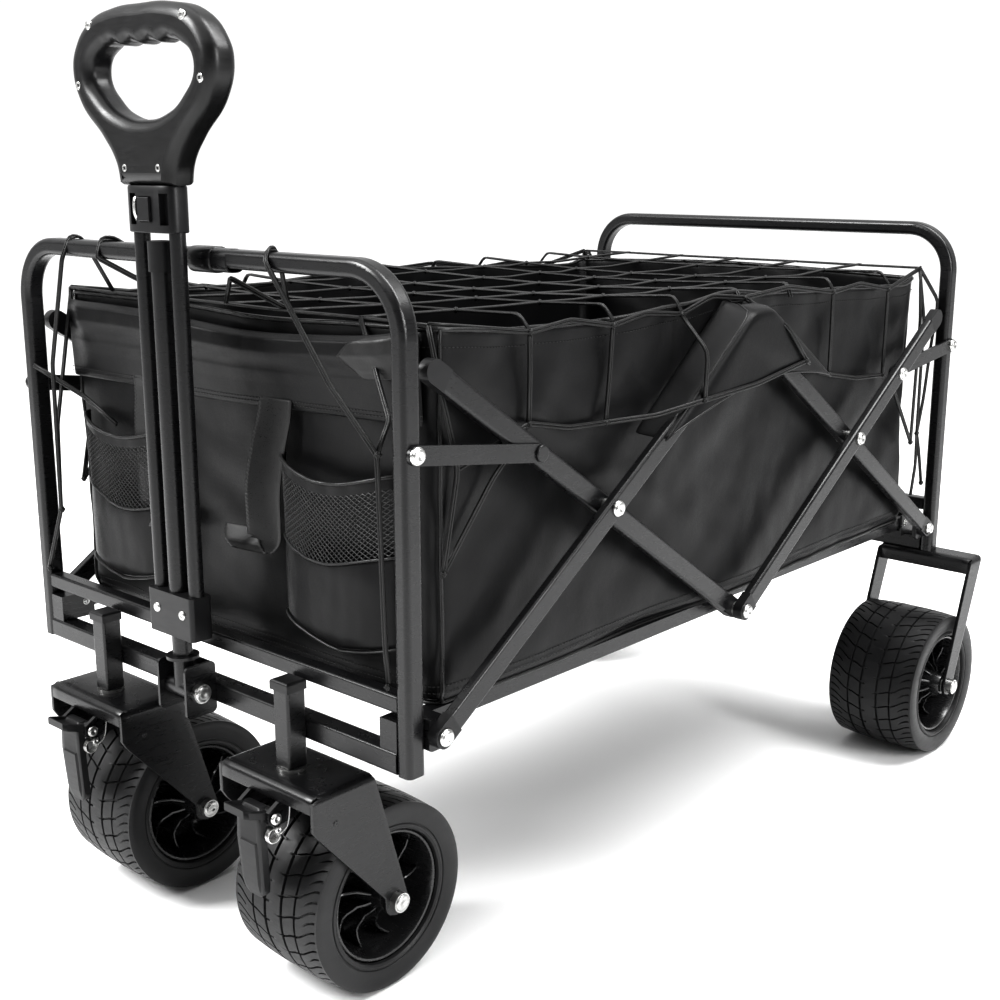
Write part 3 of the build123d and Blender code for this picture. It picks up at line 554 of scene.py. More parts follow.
def bent_fork(name, box, axle, front, back, drop, boss, lips):
    """Sheet folded over a wheel: rounded bends, legs tapering to a round boss at the axle, turned-down lips."""
    low, high = box
    top, half = high.z, (high.x - low.x) / 2
    middle = (high.x + low.x) / 2
    foot = axle.z - boss
    quarter = [math.pi / 2 * i / 6 for i in range(7)]
    leg = [(half, foot + (top - BEND - foot) * (i / 22) ** 1.25) for i in range(23)]
    bend = [(half - BEND + BEND * math.cos(a), top - BEND + BEND * math.sin(a)) for a in quarter[1:-1]]
    flat = [(half - BEND - (half - BEND) * 2 * k / 10, top) for k in range(11)]
    path = leg + bend + flat + [(-x, z) for x, z in reversed(leg + bend)]

    def reach(z):
        if z > top - BEND * 0.3:
            return front + BEND, back
        lean = min(1.0, max(0.0, (top - drop - z) / (top - drop - axle.z - 0.45 * boss)))
        lean_back = min(1.0, max(0.0, (top - z) / (top - axle.z)))
        ahead = front + (axle.y - boss * 0.96 - front) * lean
        behind = back + (axle.y + boss * 0.96 - back) * lean_back
        if z < axle.z + 0.3 * boss:
            chord = math.sqrt(max(0.0, boss ** 2 - (z - axle.z) ** 2)) + 0.2 * MM
            behind = min(behind, axle.y + chord)
            ahead = min(max(ahead, axle.y - chord), behind - 0.2 * MM)
        return ahead, behind

    shape = Shape()
    rows = []
    for x, z in path:
        ahead, behind = reach(z)
        rows.append([Vector((middle + x, ahead + (behind - ahead) * k / 12, z)) for k in range(13)])
    shape.grid(rows)
    for edge, sign, depth in lips:
        rows = []
        for k in range(13):
            x = middle + (half - SHEET * 0.9) * (2 * k / 12 - 1)
            rows.append([Vector((x, edge + sign * (BEND - BEND * math.sin(a)), top - BEND + BEND * math.cos(a)))
                         for a in quarter] + [Vector((x, edge, top - depth))])
        shape.grid(rows)
    obj = shape.piece(name, MATERIALS["black_steel"])
    solid = obj.modifiers.new("sheet", "SOLIDIFY")
    solid.thickness = SHEET
    solid.offset = -1.0
    bevel(obj, 0.9 * MM, 50)
    return soft_angle(settle(obj), 40)


def middle_of(node):
    low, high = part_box(node)
    return (low + high) / 2


def forks():
    """Castor forks with a dimple in each cheek, and the rear wheels' fixed forks."""
    for side, _ in SIDES:
        low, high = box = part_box(f"castor_fork_{side}")
        pin = middle_of(f"kingpin_{side}")
        fork = bent_fork(f"bent_fork_{side}", box, middle_of(f"front_axle_{side}"), low.y, pin.y + 38 * MM, 32 * MM,
                         14 * MM, ((low.y, 1, 15 * MM),))
        fasten(fork, f"castor_{side}", "black_steel", f"castor_fork_{side}")
        dimple = Shape()
        for x, way in ((high.x, 1), (low.x, -1)):
            dome(dimple, Vector((x, pin.y - 6 * MM, DIMPLE_Z)), Vector((way, 0, 0)), 2.6 * MM, 0.7 * MM)
        fit(dimple, f"fork_dimples_{side}", f"castor_{side}", "black_steel")
        low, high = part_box("rear_forks")
        axle = middle_of(f"rear_tyre_{side}")
        reach = high.x - middle_of("rear_tyre_right").x
        box = (Vector((axle.x - reach, low.y, low.z)), Vector((axle.x + reach, high.y, high.z)))
        front = high.y - 32 * MM
        fork = bent_fork(f"rear_fork_{side}", box, axle, front, high.y, 3 * MM, 12 * MM,
                         ((front, 1, 19 * MM), (high.y, -1, 19 * MM)))
        fasten(fork, "rear_frame", "black_steel", *(["rear_forks"] if side == "right" else []))


def brakes():
    """Foot brakes: dished foot tab, ribbed pad with a raised panel, a coil spring and wire beside each."""
    for side, _ in SIDES:
        low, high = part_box(f"brake_pedal_{side}")
        x, half = (low.x + high.x) / 2, (high.x - low.x) / 2
        y, z = high.y - 8 * MM, BRAKE_PIN_Z
        shape = Shape()
        tab = []
        for k in range(9):
            t = k / 8
            width = half * (1.05 - 0.10 * t ** 3)
            along, rise = y - 3 * MM - 23 * MM * t, z + 6 * MM + 7 * MM * t
            flat = 1.0 if 0.14 < t < 0.86 else 0.0
            corner = 0.82 if t > 0.95 else 1.0
            tab.append([Vector((x + width * a * corner, along, rise + (b if abs(a) > 0.75 else b * flat) * MM))
                        for a, b in TAB_SECTION])
        shape.grid(tab, around=True, capped=True)
        pad = []
        for z_pad, width, front in PAD_LINES:
            panel = 1.6 if -64 < z_pad < -23 else 0.0
            section = [(-1, 7), (-1, 0.6), (-0.94, 0), (-0.66, 0), (-0.60, -panel)]
            section += [(-a, out) for a, out in reversed(section)]
            pad.append([Vector((x + half * width * a, y + (front + out) * MM, z + z_pad * MM)) for a, out in section])
        shape.grid(pad, around=True, capped=True)
        barrel = Shape()
        barrel.lathe_x([(v * half, r * MM) for v, r in BRAKE_BARREL], 28)
        barrel.move((x, y, z))
        shape.add(barrel.verts, barrel.faces)
        fit(shape, f"brake_pad_{side}", f"brake_{side}", "black_plastic", f"brake_pedal_{side}", crease=40)
        spring = Shape()
        start = Vector((x + half - 4 * MM, y - 1 * MM, z - 16 * MM))
        coil = [start + Vector((8.5 * MM * t, 6.2 * MM * math.cos(TAU * 5 * t), 6.2 * MM * math.sin(TAU * 5 * t)))
                for t in (i / 70 for i in range(71))]
        spring.sweep(coil, ring(0.8 * MM, 6))
        wire = [coil[-1], coil[-1] + Vector((1 * MM, 8 * MM, 8 * MM)), (x + half + 4 * MM, y + 18 * MM, WIRE_END_Z)]
        spring.sweep(smooth_path(wire), ring(0.8 * MM, 6))
        for dz, dy, out, radius in ((0, 0, 2, 5.2), (-11, 3, 0, 3.6)):
            for way in (-1, 1):
                spot = Vector((x + way * (half + 4.6 * MM + out * MM), y + dy * MM, z + dz * MM))
                dome(spring, spot, Vector((way, 0, 0)), radius * MM, 1.7 * MM)
        fit(spring, f"brake_spring_{side}", f"castor_{side}", "zinc")


# the keeper's section lines: (x, how far it stands off the tube), mm
KEEPER = ((12, -0.5), (12.4, 1.4), (13, 1.7), (42, 1.7), (42.8, 1.4), (43.2, 0.6), (64, 0.6), (64.4, -0.5))
# CAD nodes whose rivets or bolts get domed heads, and the bodies they ride on
RIVETS = {"front_rivets": "front_frame", "rear_rivets": "rear_frame", "front_link_rivets": "links_a",
          "rear_link_rivets": "links_c", "rear_axles": "rear_frame", "front_axle_right": "castor_right",
          "front_axle_left": "castor_left", "handle_pivot_bolt": "front_frame"}


def islands(node):
    """Boxes of the separate pieces inside one CAD node."""
    mesh = frame["nodes"][node].data
    place = frame["nodes"][node].matrix_world
    made = bmesh.new()
    made.from_mesh(mesh)
    bmesh.ops.remove_doubles(made, verts=made.verts, dist=1e-6)
    seen = set()
    boxes = []
    for start in made.verts:
        if start.index in seen:
            continue
        group, queue = [], [start]
        seen.add(start.index)
        while queue:
            vert = queue.pop()
            group.append(place @ vert.co)
            for link in vert.link_edges:
                other = link.other_vert(vert)
                if other.index not in seen:
                    seen.add(other.index)
                    queue.append(other)
        boxes.append((Vector([min(p[i] for p in group) for i in range(3)]),
                      Vector([max(p[i] for p in group) for i in range(3)])))
    made.free()
    return boxes


def rivet_heads(node, body):
    """Domed and dimpled heads on both ends of a node's rivets."""
    shape = Shape()
    for low, high in islands(node):
        for outward in (-1, 1):
            centre = (low + high) / 2
            centre.x = high.x if outward > 0 else low.x
            radius = min(high.z - low.z, high.y - low.y) / 2 * 0.86
            dome(shape, centre, Vector((outward, 0, 0)), radius, 1.9 * MM)
    fit(shape, f"domed_{node}", body, "zinc")


def hoop_keeper():
    """Steel keeper wrapped round the front hoop's top tube beside the handle."""
    radius = (HOOP_HIGH.y - HOOP_LOW.y) / 2
    z = HOOP_TOP - radius
    shape = Shape()
    shape.grid([[Vector((x * MM, HOOP_Y + squared(c, 0.7) * (radius + grow * MM),
                         z + squared(s, 0.7) * (radius + grow * MM))) for c, s in turns(40)]
                for x, grow in KEEPER], around=True)
    fit(shape, "hoop_keeper", "front_frame", "black_steel", crease=35)


# ---------------------------------------------------------------- pull handle
GRIP_EDGE = 10.5 * MM
# half width and distance below the top, mm
GRIP_OUTLINE = ((0, 0), (38, 1.2), (70, 9), (92, 27), (100, 48), (90, 78), (58, 108), (42, 128))
GRIP_OPENING = ((73, 50), (57, 74), (30, 88), (0, 92))
FINGERS = 4
SCREWS = ((66, 14), (86.5, 62), (24, 131))
# the latch collar's levels: (share of its half height, how far it grows, mm)
COLLAR_LINES = ((-1, -0.9), (-0.96, 0), (0.9, 0.0), (0.98, -0.5), (1.0, -1.2))
# the spring strip: (x, distance behind the collar's face, height from its middle) in mm, and its section
STRIP_ROUTE = ((-15, 3, 12), (-14.5, -0.4, 8), (-14.5, -0.9, -3), (-15, 3, -12))
STRIP_SECTION = ((-1, -0.4), (-0.8, -1), (0.8, -1), (1, -0.4), (1, 0.4), (0.8, 1), (-0.8, 1), (-1, 0.4))


def grip():
    """Moulded ring grip with rounded bars, finger grooves under the top bar and a flared neck."""
    top, neck = GRIP_HIGH.z, GRIP_LOW.z
    outer = [(x * MM, -d * MM) for x, d in GRIP_OUTLINE] + [(37.5 * MM, neck - top)]
    outer += [(-x, z) for x, z in reversed(outer) if x > 0]
    steps = FINGERS * 4
    grooves = [((104 * i / steps - 52) * MM, (-30.5 - 1.6 * math.cos(TAU * i / 4)) * MM) for i in range(steps + 1)]
    right = [(x * MM, -d * MM) for x, d in GRIP_OPENING]
    inner = grooves + right + [(-x, z) for x, z in reversed(right) if x > 0]
    curve = bpy.data.curves.new("grip_outline", "CURVE")
    curve.dimensions = "2D"
    curve.fill_mode = "BOTH"
    curve.extrude = (GRIP_HIGH.y - GRIP_LOW.y) / 2 - GRIP_EDGE
    curve.bevel_depth = GRIP_EDGE
    curve.bevel_resolution = 6
    curve.offset = -GRIP_EDGE
    curve.resolution_u = 10
    for points in (outer, inner):
        spline = curve.splines.new("BEZIER")
        spline.bezier_points.add(len(points) - 1)
        spline.use_cyclic_u = True
        for knot, (x, z) in zip(spline.bezier_points, points):
            knot.co = (x, z, 0)
            corner = abs(z - (neck - top)) < MM
            knot.handle_left_type = knot.handle_right_type = "VECTOR" if corner else "AUTO"
    outline = new_object("grip_curve", curve)
    mesh = bpy.data.meshes.new_from_object(outline.evaluated_get(bpy.context.evaluated_depsgraph_get()))
    bpy.data.objects.remove(outline)
    upright = Matrix.Rotation(math.radians(90), 4, "X")
    mesh.transform(Matrix.Translation((0, (GRIP_LOW.y + GRIP_HIGH.y) / 2, top)) @ upright)
    mesh.materials.clear()
    mesh.materials.append(MATERIALS["grip_plastic"])
    mesh.polygons.foreach_set("use_smooth", [True] * len(mesh.polygons))
    fasten(soft_angle(new_object("moulded_grip", mesh), 40), "handle_slider", "grip_plastic", "handle_grip")
    screws = Shape()
    for half, below in SCREWS:
        for x in (-half, half):
            head = Vector((x * MM, GRIP_LOW.y + 0.4 * MM, top - below * MM))
            screw_head(screws, head, Vector((0, -1, 0)), 4.2 * MM)
    fit(screws, "grip_screw_heads", "handle_slider", "zinc", "grip_screws")


def screw_head(shape, centre, out, radius, steps=32):
    """Countersunk head with a cross recess."""
    side = out.orthogonal().normalized()
    other = out.cross(side)
    rows = []
    for share, lift in ((1.0, -1.5), (1.0, 0.0), (0.92, 0.35), (0.6, 0.45), (0.34, 0.5), (0.30, -0.9), (0.0, -1.2)):
        row = []
        for k in range(steps):
            a = TAU * k / steps
            cross = 1.0 + 0.75 * max(0.0, math.cos(4 * a)) ** 2 if share in (0.34, 0.30) else 1.0
            row.append(centre + (side * math.cos(a) + other * math.sin(a)) * radius * share * cross
                       + out * lift * MM)
        rows.append(row)
    shape.grid(rows, around=True)


def latch_collar():
    """Collar under the grip with a window each side and a spring strip, standing over the guide tubes."""
    low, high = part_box("handle_latch_housing")
    centre, half = (low + high) / 2, (high - low) / 2
    shape = Shape()
    shape.grid([[centre + Vector((squared(c, 0.5) * (half.x + grow * MM), squared(s, 0.62) * (half.y + grow * MM),
                                  share * half.z)) for c, s in turns(48, 0.5)]
                for share, grow in COLLAR_LINES], around=True, capped=True)
    collar = shape.piece("latch_collar", MATERIALS["black_plastic"])
    cutters = Shape()
    window = Vector((4.6 * MM, 6 * MM, 13 * MM))
    latch_low, latch_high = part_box("handle_latch_button")
    slot = (latch_high - latch_low) / 2 + Vector((0.6 * MM, 8 * MM, 0.6 * MM))
    slot_at = (latch_low + latch_high) / 2 + Vector((0, 4 * MM, 0))
    for spot, size in ((Vector((-18.5 * MM, low.y, centre.z)), window), (Vector((24 * MM, low.y, centre.z)), window),
                       (slot_at, slot)):
        verts = [spot + Vector((size.x * i, size.y * j, size.z * k)) for i in (-1, 1) for j in (-1, 1)
                 for k in (-1, 1)]
        cutters.add(verts, [(0, 1, 3, 2), (4, 6, 7, 5), (0, 4, 5, 1), (2, 3, 7, 6), (0, 2, 6, 4), (1, 5, 7, 3)])
    cutter = cutters.piece("window_cutter", MATERIALS["black_plastic"], smooth=False)
    cut = collar.modifiers.new("windows", "BOOLEAN")
    cut.object = cutter
    cut.operation = "DIFFERENCE"
    cut.solver = "EXACT"
    settle(collar)
    bpy.data.objects.remove(cutter)
    fasten(soft_angle(collar, 35), "handle_slider", "black_plastic", "handle_latch_housing")
    strip = Shape()
    route = smooth_path([(x * MM, low.y + out * MM, centre.z + rise * MM) for x, out, rise in STRIP_ROUTE])
    strip.sweep(route, [(a * 1.9 * MM, b * 0.4 * MM) for a, b in STRIP_SECTION], up=(0, 1, 0))
    fit(strip, "latch_spring", "handle_slider", "zinc")


def block_rivets():
    """The two bright rivets that hold the guide block on the side tubes."""
    low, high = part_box("handle_guide_block")
    shape = Shape()
    for x in (low.x + 14 * MM, high.x - 14 * MM):
        dome(shape, Vector((x, low.y, (low.z + high.z) / 2 + 3 * MM)), Vector((0, -1, 0)), 4.4 * MM, 1.6 * MM)
    fit(shape, "guide_block_rivets", "handle_slider", "zinc")


def dome(shape, centre, out, radius, height):
    """Round rivet head with a small dimple."""
    side = out.orthogonal().normalized()
    other = out.cross(side)
    rows = []
    for share, lift in ((1.0, -0.4), (1.0, 0.35), (0.9, 0.72), (0.66, 0.95), (0.34, 1.0), (0.27, 0.72), (0.02, 0.7)):
        rows.append([centre + (side * c + other * s) * radius * share + out * height * lift for c, s in turns(28)])
    shape.grid(rows, around=True)
    shape.faces.append(list(range(28)))


# ---------------------------------------------------------------- bag
def at(y):
    """Frame position of a distance behind the front hoop, in mm."""
    return HOOP_Y + y * MM


def rim_height(x, y, normal_y):
    """Top edge of the cloth round the bag."""
    if normal_y < -0.7:
        return RIM_Z - 2 * MM - 5 * MM * bump(x, 0.06, 0.09)
    if normal_y > 0.7:
        return RIM_Z - 8 * MM + 4 * MM * math.cos(x * 9)
    behind = (y - HOOP_Y) / MM
    return between(behind, ((34, 0.598), (150, 0.590), (240, 0.588), (376, 0.594), (456, 0.600), (540, 0.594),
                            (640, 0.590), (828, 0.584), (868, 0.592)))


def foot_height(y, side_wall):
    if not side_wall:
        return BAG_LOW.z + 1 * MM
    behind = (y - HOOP_Y) / MM
    return BAG_LOW.z + MM * between(behind, ((34, 1.5), (192, 0.2), (414, 0.4), (548, 1.5), (868, 9)))


def wall_dent(x, y, z, normal, rise):
    """How far the cloth lies in from its flat wall, in metres."""
    behind = (y - HOOP_Y) / MM
    if abs(normal.y) > 0.7:
        facing = 1 if normal.y < 0 else 2
        slack = 3.0 * math.sin(math.pi * rise) + 4.0 * wave(x, z, facing, 7.0)
        slack += 2.2 * wave(x * 1.0 + z * 1.4, z, facing, 17.0, 2.0) + 0.9 * wave(x, z, facing, 45.0, 4.0)
        return MM * max(0.4, 2.4 + slack)
    side = 1 if normal.x > 0 else -1
    slack = 5.0 * math.sin(math.pi * rise) ** 0.8 + 5.5 * wave(y + 0.7 * z, z * 0.8, side, 6.0, 1.0)
    slack += 3.0 * wave(y - 1.1 * z, z * 0.5, side, 15.0, 3.0) + 1.1 * wave(y, z, side, 42.0, 5.0)
    diagonal = behind * 0.62 + (z - 0.45) / MM
    slack += 6.0 * bump(diagonal, 118, 26) * bump(rise, 0.55, 0.33)
    slack -= 4.5 * bump(diagonal, 165, 20) * bump(rise, 0.5, 0.3)
    slack += 5.0 * bump(behind * 0.5 - (z - 0.45) / MM, 415, 30) * bump(rise, 0.45, 0.3)
    gather = bump(rise, 0.97, 0.10) * (1.6 + 1.6 * math.sin(behind / 17 + 2 * wave(y, 0, side, 9.0)))
    return MM * max(0.3, 1.8 + slack + gather)


def bag_plan(corner, spacing=0.009, round_steps=7):
    """Points and outward normals round the bag, seen from above."""
    x, y0, y1 = BAG_X, FRONT, REAR
    plan = []
    runs = (((-x + corner, y0), (x - corner, y0), (0, -1)), ((x, y0 + corner), (x, y1 - corner), (1, 0)),
            ((x - corner, y1), (-x + corner, y1), (0, 1)), ((-x, y1 - corner), (-x, y0 + corner), (-1, 0)))
    for start, end, normal in runs:
        start, end, normal = Vector(start), Vector(end), Vector(normal)
        count = max(2, round((end - start).length / spacing))
        for i in range(count + 1):
            plan.append((start.lerp(end, i / count), normal))
        middle = end - normal * corner
        turn = Vector((-normal.y, normal.x))
        for i in range(1, round_steps):
            a = math.pi / 2 * i / round_steps
            out = normal * math.cos(a) + turn * math.sin(a)
            plan.append((middle + out * corner, out))
    return plan


def bag_point(place, normal, rise, out=0.0):
    """Point of the bag's wall, lifted off it by out mm."""
    top = rim_height(place.x, place.y, normal.y)
    foot = foot_height(place.y, abs(normal.y) < 0.75)
    z = foot + (top - foot) * rise
    tuck = 5 * MM * max(0.0, 1 - rise / 0.05) ** 2
    spot = place - normal * (wall_dent(place.x, place.y, z, normal, rise) + tuck)
    return Vector((spot.x, spot.y, z)) + Vector((normal.x, normal.y, 0)) * out * MM


def bag():
    """Open bag hung between the hoops: draped walls, sagging floor, piped rim and corners, stitched hem."""
    plan = bag_plan(22 * MM)

    def level(rise, out=0.0):
        return [bag_point(place, normal, rise, out) for place, normal in plan]

    shape = Shape()
    shape.grid([level(i / 30) for i in range(31)], around=True)
    fit(shape, "bag_walls", "front_frame", "bag_fabric", "bag", cloth=1.6 * MM, levels=1, fold=True)
    floor = Shape()
    rows = []
    for i in range(40):
        y = FRONT + 6 * MM + (REAR - FRONT - 12 * MM) * i / 39
        row = []
        for k in range(26):
            x = (BAG_X - 6 * MM) * (2 * k / 25 - 1)
            dish = 2.5 * MM * (1 - (x / BAG_X) ** 2)
            row.append(Vector((x, y, BAG_LOW.z + 5.5 * MM - dish + 1.2 * MM * wave(x, y, 0, 9.0, 7.0))))
        rows.append(row)
    floor.grid(rows)
    fit(floor, "bag_floor", "front_frame", "bag_fabric", cloth=1.6 * MM, levels=1, fold=True)
    trim = Shape()
    trim.sweep(level(1.0, -0.8), ring(2.3 * MM), closed=True)
    trim.sweep(level(0.0), ring(1.9 * MM), closed=True)
    corners = [entry for entry in plan if 0.35 < abs(entry[1].x) < 0.95][3::6]
    for place, normal in corners:
        trim.sweep([bag_point(place, normal, i / 24, 0.6) for i in range(25)], ring(1.7 * MM))
    fit(trim, "bag_piping", "front_frame", "bag_fabric", look=PIPING, fold=True)
    thread = Shape()
    for rise in (0.030, 0.050, 0.955):
        stitch_line(thread, level(rise, 0.5))
    fit(thread, "bag_stitching", "front_frame", "bag_fabric", look=THREAD, fold=True)


# corners of the flap that hangs over the middle pivots: distance behind the front hoop and height, mm
FLAP_TOP = ((446, 590), (470, 590))
FLAP_FOOT = ((306, 477), (604, 503))
FLAP_OUT = 37 * MM                             # how far the links hold it off the bag
FLAP_COLUMNS, FLAP_ROWS = 26, 22


def flap_edge(t):
    """Lower edge of the flap, arched between its two points."""
    (y0, z0), (y1, z1) = FLAP_FOOT
    return y0 + (y1 - y0) * t, z0 + (z1 - z0) * t + 27 * math.sin(math.pi * t) ** 0.8


def flap_point(t, v):
    """Flap cloth: t along its width, v from the rim down to the lower edge."""
    (ya, za), (yb, zb) = FLAP_TOP
    foot_y, foot_z = flap_edge(t)
    top_y, top_z = ya + (yb - ya) * t, za + (zb - za) * t
    y, z = top_y + (foot_y - top_y) * v, top_z + (foot_z - top_z) * v
    out = FLAP_OUT * (1 - math.exp(-34 * (v + 0.015)))
    edge = abs(2 * t - 1)
    out *= 1 - 0.16 * edge ** 6
    out -= MM * (0.6 + 1.6 * v * wave(y * MM, z * MM, 3, 14.0, 4.0) + 1.5 * bump(t - 0.55 * v, 0.1, 0.12) * v)
    return y, z, out


def side_flaps():
    """Triangular cloth flaps that cover the scissor's upper middle pivots."""
    for name, side in SIDES:
        shape = Shape()

        def put(y, z, out):
            return Vector((side * (BAG_X + out), at(y), z * MM))

        foot = [flap_point(t / FLAP_COLUMNS, 1.0) for t in range(FLAP_COLUMNS + 1)]
        ends = [[flap_point(t, v / FLAP_ROWS) for v in range(FLAP_ROWS + 1)] for t in (0.0, 1.0)]
        shape.grid([[put(*flap_point(t / FLAP_COLUMNS, v / FLAP_ROWS)) for t in range(FLAP_COLUMNS + 1)]
                    for v in range(FLAP_ROWS + 1)])
        for end, lean in zip(ends, (-1, 1)):
            shape.grid([[put(y + lean * 7 * (1 - k / 4) ** 1.4, z + 4 * (1 - k / 4),
                             out * k / 4 - 1.5 * MM * (1 - k / 4)) for k in range(5)] for y, z, out in end])
        (y0, z0), (y1, _) = FLAP_TOP
        shape.grid([[put(y0 + (y1 - y0) * t / 8, z0 + 4 - k, FLAP_OUT * 0.06 * k - 1.5 * MM) for t in range(9)]
                    for k in range(4)])
        obj = shape.piece(f"side_flap_{name}", MATERIALS["bag_fabric"])
        mesh = bmesh.new()
        mesh.from_mesh(obj.data)
        bmesh.ops.remove_doubles(mesh, verts=mesh.verts, dist=0.4 * MM)
        bmesh.ops.recalc_face_normals(mesh, faces=mesh.faces)
        mesh.to_mesh(obj.data)
        mesh.free()
        thicken(obj, 1.2 * MM, 1, offset=0.0)
        fasten(obj, "front_frame", "bag_fabric", fold=True)
        trim = Shape()
        for line in (foot, *ends):
            trim.sweep([put(y, z, out + 0.5 * MM) for y, z, out in line], ring(1.1 * MM, 6))
        edge = fit(trim, f"flap_piping_{name}", "front_frame", "bag_fabric", look=PIPING, fold=True)


def stitch_line(shape, points, pitch=4.2 * MM, long=3.0 * MM, wide=0.8 * MM):
    """A row of stitches along a line of points."""
    travelled = 0.0
    for a, b in zip(points, points[1:]):
        run = (b - a).length
        while travelled < run:
            shape.bead(a.lerp(b, travelled / run), b - a, long, wide)
            travelled += pitch
        travelled -= run


# the collar's roll: (share of the way round, share of its height, distance out in mm)
COLLAR_ROLL = ((0.0, 0.0, -0.5), (0.08, 0.12, 2.0), (0.25, 0.34, 5.0), (0.42, 0.50, 8.0), (0.60, 0.76, 14.5),
               (0.74, 0.93, 13.5), (0.86, 1.0, 6.0), (0.94, 0.97, 0.0), (1.0, 0.86, -1.8))


def collar_point(x, s):
    """Front collar: s runs from the hem, up over the rolled edge and down inside."""
    end = between(abs(x), ((0.215, 1.0), (0.25, 0.25)))
    hem = 0.514 + 0.030 * max(0.0, x)
    top = RIM_Z - 8 * MM - 9 * MM * bump(x, 0.05, 0.12) + 6 * MM * bump(x, 0.25, 0.04)
    rise = between(s, [(a, b) for a, b, _ in COLLAR_ROLL])
    out = between(s, [(a, c) for a, _, c in COLLAR_ROLL]) * end
    z = hem + (top - hem) * rise
    soft = 1.8 * wave(x, z, 5, 9.0, 2.0) + 0.8 * wave(x, z, 5, 26.0, 3.0)
    crease = -2.2 * bump(rise, 0.58, 0.05) if s < 0.7 else 0.0
    return Vector((x, FRONT - (1.2 + out + (soft + crease) * end) * MM, z))


def front_collar():
    """Padded collar folded over the bag's front edge, with a double-stitched hem."""
    columns = [-0.252 + 0.504 * k / 84 for k in range(85)]
    shape = Shape()
    shape.grid([[collar_point(x, i / 26) for x in columns] for i in range(27)])
    fit(shape, "front_collar", "front_frame", "bag_fabric", cloth=1.2 * MM, levels=1)
    thread = Shape()
    for s in (0.045, 0.085):
        stitch_line(thread, [collar_point(x, s) + Vector((0, -0.5 * MM, 0)) for x in columns])
    fit(thread, "collar_stitching", "front_frame", "bag_fabric", look=THREAD)
    patch = Shape()
    rows = []
    for i in range(13):
        s = 0.40 + 0.40 * i / 12
        lean = 0.030 * abs(i / 6 - 1) ** 1.5
        rows.append([collar_point(0.170 + lean + (0.074 - lean) * k / 14, s) + Vector((0, -0.9 * MM, 0.4 * MM))
                     for k in range(15)])
    patch.grid(rows)
    fit(patch, "corner_patch", "front_frame", "webbing", look=EMBOSSED, cloth=0.8 * MM)


# ---------------------------------------------------------------- front pockets
def pocket_point(side, across, z, grow=0.0):
    """Pocket wall: across runs 0 to 1 from the inner edge to the outer one."""
    x = POCKET_IN + (POCKET_OUT - POCKET_IN) * across
    rise = (z - POCKET_LOW.z) / (POCKET_HIGH.z - POCKET_LOW.z)
    edge = 1 - abs(2 * across - 1) ** 2.6
    depth = (POCKET_HIGH.y - POCKET_LOW.y - 3 * MM) * edge ** 0.55
    depth *= between(rise, ((0.0, 0.72), (0.12, 0.92), (0.45, 0.97), (0.62, 0.86), (0.9, 0.96), (1.05, 1.0)))
    depth += MM * (1.8 * wave(x, z, side, 16.0, 1.5) + 0.8 * wave(x * 2, z, side, 40.0)) * edge
    return Vector((side * x, FRONT - 1.0 * MM - max(0.0, depth) - grow, z))


def pocket_rim(across):
    """Height of the pocket's sagging rim."""
    return 0.4795 - 0.014 * math.sin(math.pi * min(1.0, across * 0.95 + 0.05)) ** 1.3


def pocket_band(across):
    """Height of the line between the solid base and the mesh."""
    return 0.398 + 0.010 * abs(2 * across - 1) ** 1.5 - 0.004 * math.sin(5 * across)


def pocket_foot(across):
    """Height of the seam under the pocket."""
    return 0.320 + 0.016 * abs(2 * across - 1.1) ** 1.4


def pockets():
    """A pocket each side of the handle: solid base, open mesh, folded rim and piping."""
    for name, side in SIDES:
        columns = [k / 40 for k in range(41)]
        rows = [[pocket_point(side, a, pocket_foot(a) + (pocket_band(a) - pocket_foot(a)) * i / 14) for a in columns]
                for i in range(15)]
        base = Shape()
        base.grid([[Vector((p.x, FRONT - 1.5 * MM, p.z + 2 * MM)) for p in rows[0]]] + rows)
        fit(base, f"pocket_base_{name}", "front_frame", "bag_fabric", *(["front_pockets"] if side > 0 else []),
            cloth=1.2 * MM, levels=1)
        band = Shape()
        band.grid([[pocket_point(side, a, pocket_rim(a) - 11 * MM * (1 - i / 4), 0.3 * MM) for a in columns]
                   for i in range(5)])
        fit(band, f"pocket_band_{name}", "front_frame", "bag_fabric", cloth=1.4 * MM, levels=1)
        trim = Shape()
        for height, radius in ((pocket_rim, 1.8), (pocket_band, 1.3), (pocket_foot, 1.2)):
            trim.sweep([pocket_point(side, a, height(a), 0.8 * MM) for a in columns], ring(radius * MM))
        for across in (0.0, 1.0):
            trim.sweep([pocket_point(side, across, 0.335 + 0.143 * i / 12, 0.8 * MM) for i in range(13)],
                       ring(1.3 * MM))
        fit(trim, f"pocket_piping_{name}", "front_frame", "bag_fabric", look=PIPING)
        pocket_mesh(name, side)


def pocket_mesh(name, side, columns=50, rows=26):
    """Open diamond mesh between the pocket's band and its base."""
    mesh = Shape()
    points = {}
    for i in range(rows + 1):
        for k in range(i % 2, columns + 1, 2):
            across = k / columns
            low, high = pocket_band(across), pocket_rim(across) - 10 * MM
            points[i, k] = len(mesh.verts)
            mesh.verts.append(pocket_point(side, across, low + (high - low) * i / rows, 0.1 * MM))
    for i in range(1, rows):
        for k in range(1 + i % 2, columns, 2):
            mesh.faces.append([points[i, k - 1], points[i - 1, k], points[i, k + 1], points[i + 1, k]])
    obj = mesh.piece(f"pocket_mesh_{name}", MESH)
    wire = obj.modifiers.new("strands", "WIREFRAME")
    wire.thickness = 1.15 * MM
    wire.use_even_offset = False
    wire.use_boundary = True
    fasten(settle(obj), "front_frame", "bag_fabric")


# ---------------------------------------------------------------- webbing straps
STRAP_WIDE = 43 * MM
STRAP_RIB = 1.9 * MM
